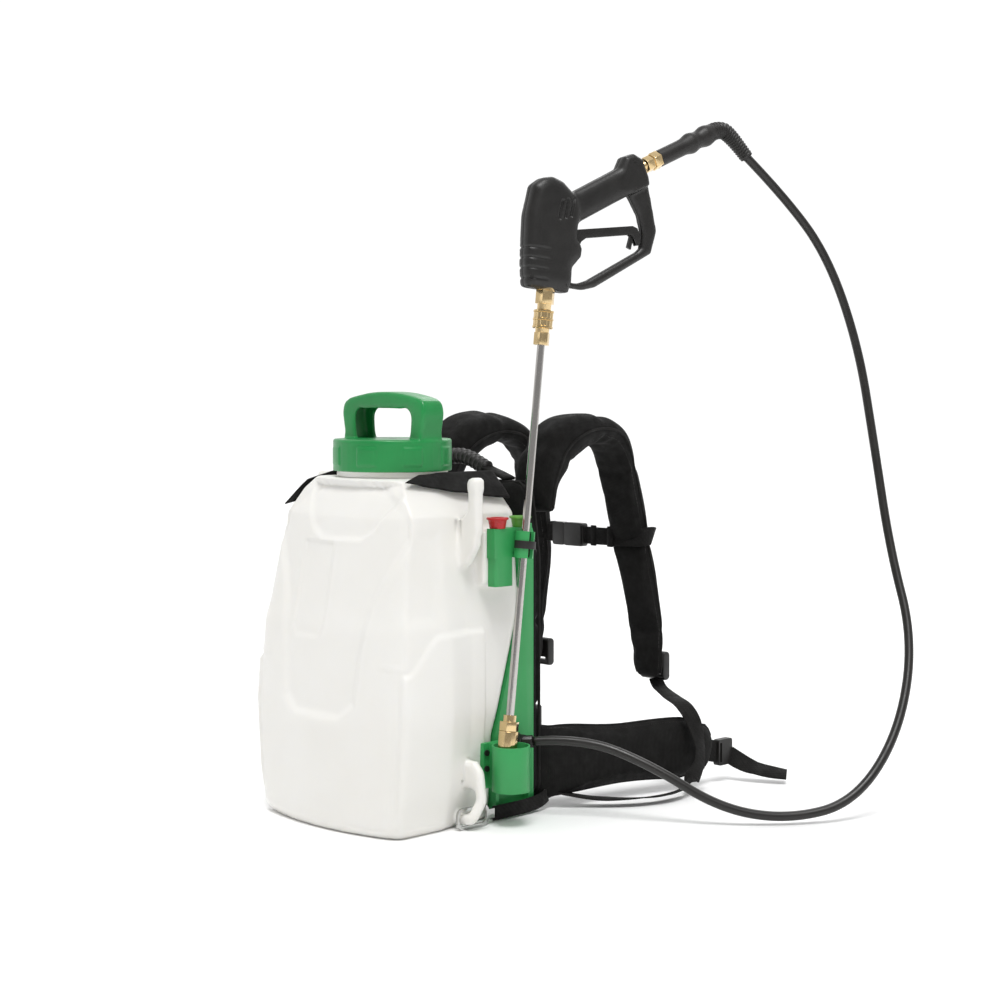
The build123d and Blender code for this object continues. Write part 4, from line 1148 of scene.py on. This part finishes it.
def make_carry_grip():
    """The ribbed rubber grip over the back pad, and the webbing tab at each of its ends."""
    near = [(0.028, 0.142, 0.4445), (0.040, 0.142, 0.4405), (0.056, 0.142, 0.436), (0.073, 0.142, 0.430)]
    far = [(-0.034, 0.142, 0.456), (-0.052, 0.142, 0.449), (-0.068, 0.142, 0.444), (-0.084, 0.142, 0.430)]
    tabs = [strip("tab", points, [Y_SIDE] * 4, 0.022, 0.004) for points in (near, far)]
    stands_for(joined("carry_tab_webbing", tabs, WEBBING), "carry_tabs")
    route = [(-0.036, 0.143, 0.457), (-0.018, 0.1428, 0.459), (0.006, 0.142, 0.453), (0.031, 0.141, 0.4425)]
    line = even_line(nurbs_line(route, "grip", 20), 0.0008)
    stands_for(swept("carry_grip_sleeve", line, grip_ring, RUBBER), "carry_grip")


make_lower_webs()
make_base_straps()
make_chest_strap()
make_belt_webbing()
make_carry_grip()

# ---------------- fabric flaps
# outlines by side: distance down the tank's shoulder and y, in mm
FLAPS = {
    1: [(0, 100), (0, 60), (0, 0), (3, -34), (15, -64), (20, -40), (25, -14), (33, 12), (39, 51), (46, 100)],
    -1: [(0, 100), (0, 60), (0, 0), (3, -30), (20, -62), (66, -72), (50, -40), (42, -14), (42, 12), (40, 51),
         (46, 100)],
}


FLAP_ROWS, FLAP_COLUMNS = 46, 16
FLAP_FRONT = {1: -64, -1: -72}  # y of the point
FLAP_POINT = {1: 15, -1: 66}
FLAP_REAR = 100
SHOULDER_X, SHOULDER_Z = 82.5, 441  # the shoulder's top edge
SHOULDER_RUN, SHOULDER_FALL = 0.6946, 0.7194  # its slope, as a unit vector


def make_flap(sign):
    """A thin sheet with a pointed front end that lies down the tank's shoulder."""
    outline = FLAPS[sign]
    verts, faces = [], []
    for j in range(FLAP_ROWS + 1):
        y = FLAP_FRONT[sign] + (FLAP_REAR - FLAP_FRONT[sign]) * j / FLAP_ROWS
        crossings = [ax + (bx - ax) * (y - ay) / (by - ay)
                     for (ax, ay), (bx, by) in zip(outline, outline[1:] + outline[:1])
                     if (ay - y) * (by - y) <= 0 and ay != by]
        low = min(crossings, default=FLAP_POINT[sign])
        high = max(crossings, default=FLAP_POINT[sign])
        for i in range(FLAP_COLUMNS + 1):
            along = low + (high - low) * i / FLAP_COLUMNS
            lift = 2.0 + 1.6 * math.sin(y / 17) * eased(along, 8, 50) + 2.2 * eased(-y, 20, 72)
            lift += 1.2 * noise.noise(Vector((along / 22, y / 30, 3.1 * sign)))
            x = SHOULDER_X + along * SHOULDER_RUN + lift * SHOULDER_FALL
            z = SHOULDER_Z - along * SHOULDER_FALL + lift * SHOULDER_RUN
            verts.append(Vector((sign * x, y, z)) / 1000)
    row = FLAP_COLUMNS + 1
    for j in range(FLAP_ROWS):
        for i in range(FLAP_COLUMNS):
            a = j * row + i
            quad = (a, a + 1, a + row + 1, a + row)
            faces.append(quad if sign > 0 else tuple(reversed(quad)))
    flap = new_object("flap_right" if sign > 0 else "flap_left", verts, faces, FABRIC)
    add_wall(flap, 0.002, 0)
    apply_modifiers(flap)
    return flap


stands_for(make_flap(1), "top_flaps")
rides(make_flap(-1), ROOT)


# ---------------- light, floor, camera
def area_light(name, place, aim, size, power):
    lamp = bpy.data.lights.new(name, "AREA")
    lamp.shape = "RECTANGLE"
    lamp.size, lamp.size_y = size
    lamp.energy = power
    holder = placed(name, lamp)
    holder.location = place
    holder.rotation_euler = (Vector(aim) - Vector(place)).to_track_quat("-Z", "Y").to_euler()


world = bpy.data.worlds.new("studio")
bpy.context.scene.world = world
world.use_nodes = True
# the studio is bright behind the object and darker behind the camera
sky = world.node_tree.nodes["Background"]
sky.inputs["Color"].default_value = (1, 1, 1, 1)
direction = world.node_tree.nodes.new("ShaderNodeTexCoord")
turned = world.node_tree.nodes.new("ShaderNodeVectorMath")
turned.operation = "DOT_PRODUCT"
turned.inputs[1].default_value = (0.7071, -0.7071, 0)
fade = world.node_tree.nodes.new("ShaderNodeMapRange")
for key, value in (("From Min", -0.78), ("From Max", 0.45), ("To Min", 1.05), ("To Max", 0.36)):
    fade.inputs[key].default_value = value
world.node_tree.links.new(direction.outputs["Generated"], turned.inputs[0])
world.node_tree.links.new(turned.outputs["Value"], fade.inputs["Value"])
world.node_tree.links.new(fade.outputs["Result"], sky.inputs["Strength"])

floor_mesh = bpy.data.meshes.new("floor")
FLOOR_HALF = 12
corners = [(x * FLOOR_HALF, y * FLOOR_HALF, 0) for x, y in ((-1, -1), (1, -1), (1, 1), (-1, 1))]
floor_mesh.from_pydata(corners, [], [(0, 1, 2, 3)])
floor = placed("floor", floor_mesh)
floor_maker = Maker("pale_floor", (0.96, 0.96, 0.96), 0.8)
floor_maker.vary_rough(floor_maker.noise(3, 3), 0.62, 0.8)
floor_mesh.materials.append(floor_maker.mat)

sun_lamp = bpy.data.lights.new("sun", "SUN")
sun_lamp.energy = 2.0
sun_lamp.angle = math.radians(24)
sun = placed("sun", sun_lamp)
sun.rotation_euler = Vector((0.30, -0.26, 0.92)).to_track_quat("Z", "Y").to_euler()
area_light("key", (2.6, -0.6, 2.6), (0, 0, 0.3), (1.0, 1.0), 9)
area_light("fill", (-1.6, -2.8, 1.8), (0, 0, 0.3), (1.2, 1.0), 3)
area_light("back", (-1.2, 2.6, 2.4), (0, 0.1, 0.4), (2.0, 1.6), 16)

camera_data = bpy.data.cameras.new("camera")
camera_data.lens = 68.4
camera_data.sensor_width = 36
camera_data.shift_y = -0.117
camera_data.clip_end = 60
camera = placed("camera", camera_data)
camera.location = (1.8446, -1.6471, 0.5567)
camera.rotation_euler = (math.radians(90), 0, math.radians(45))
bpy.context.scene.camera = camera
bpy.context.scene.view_settings.view_transform = "Standard"
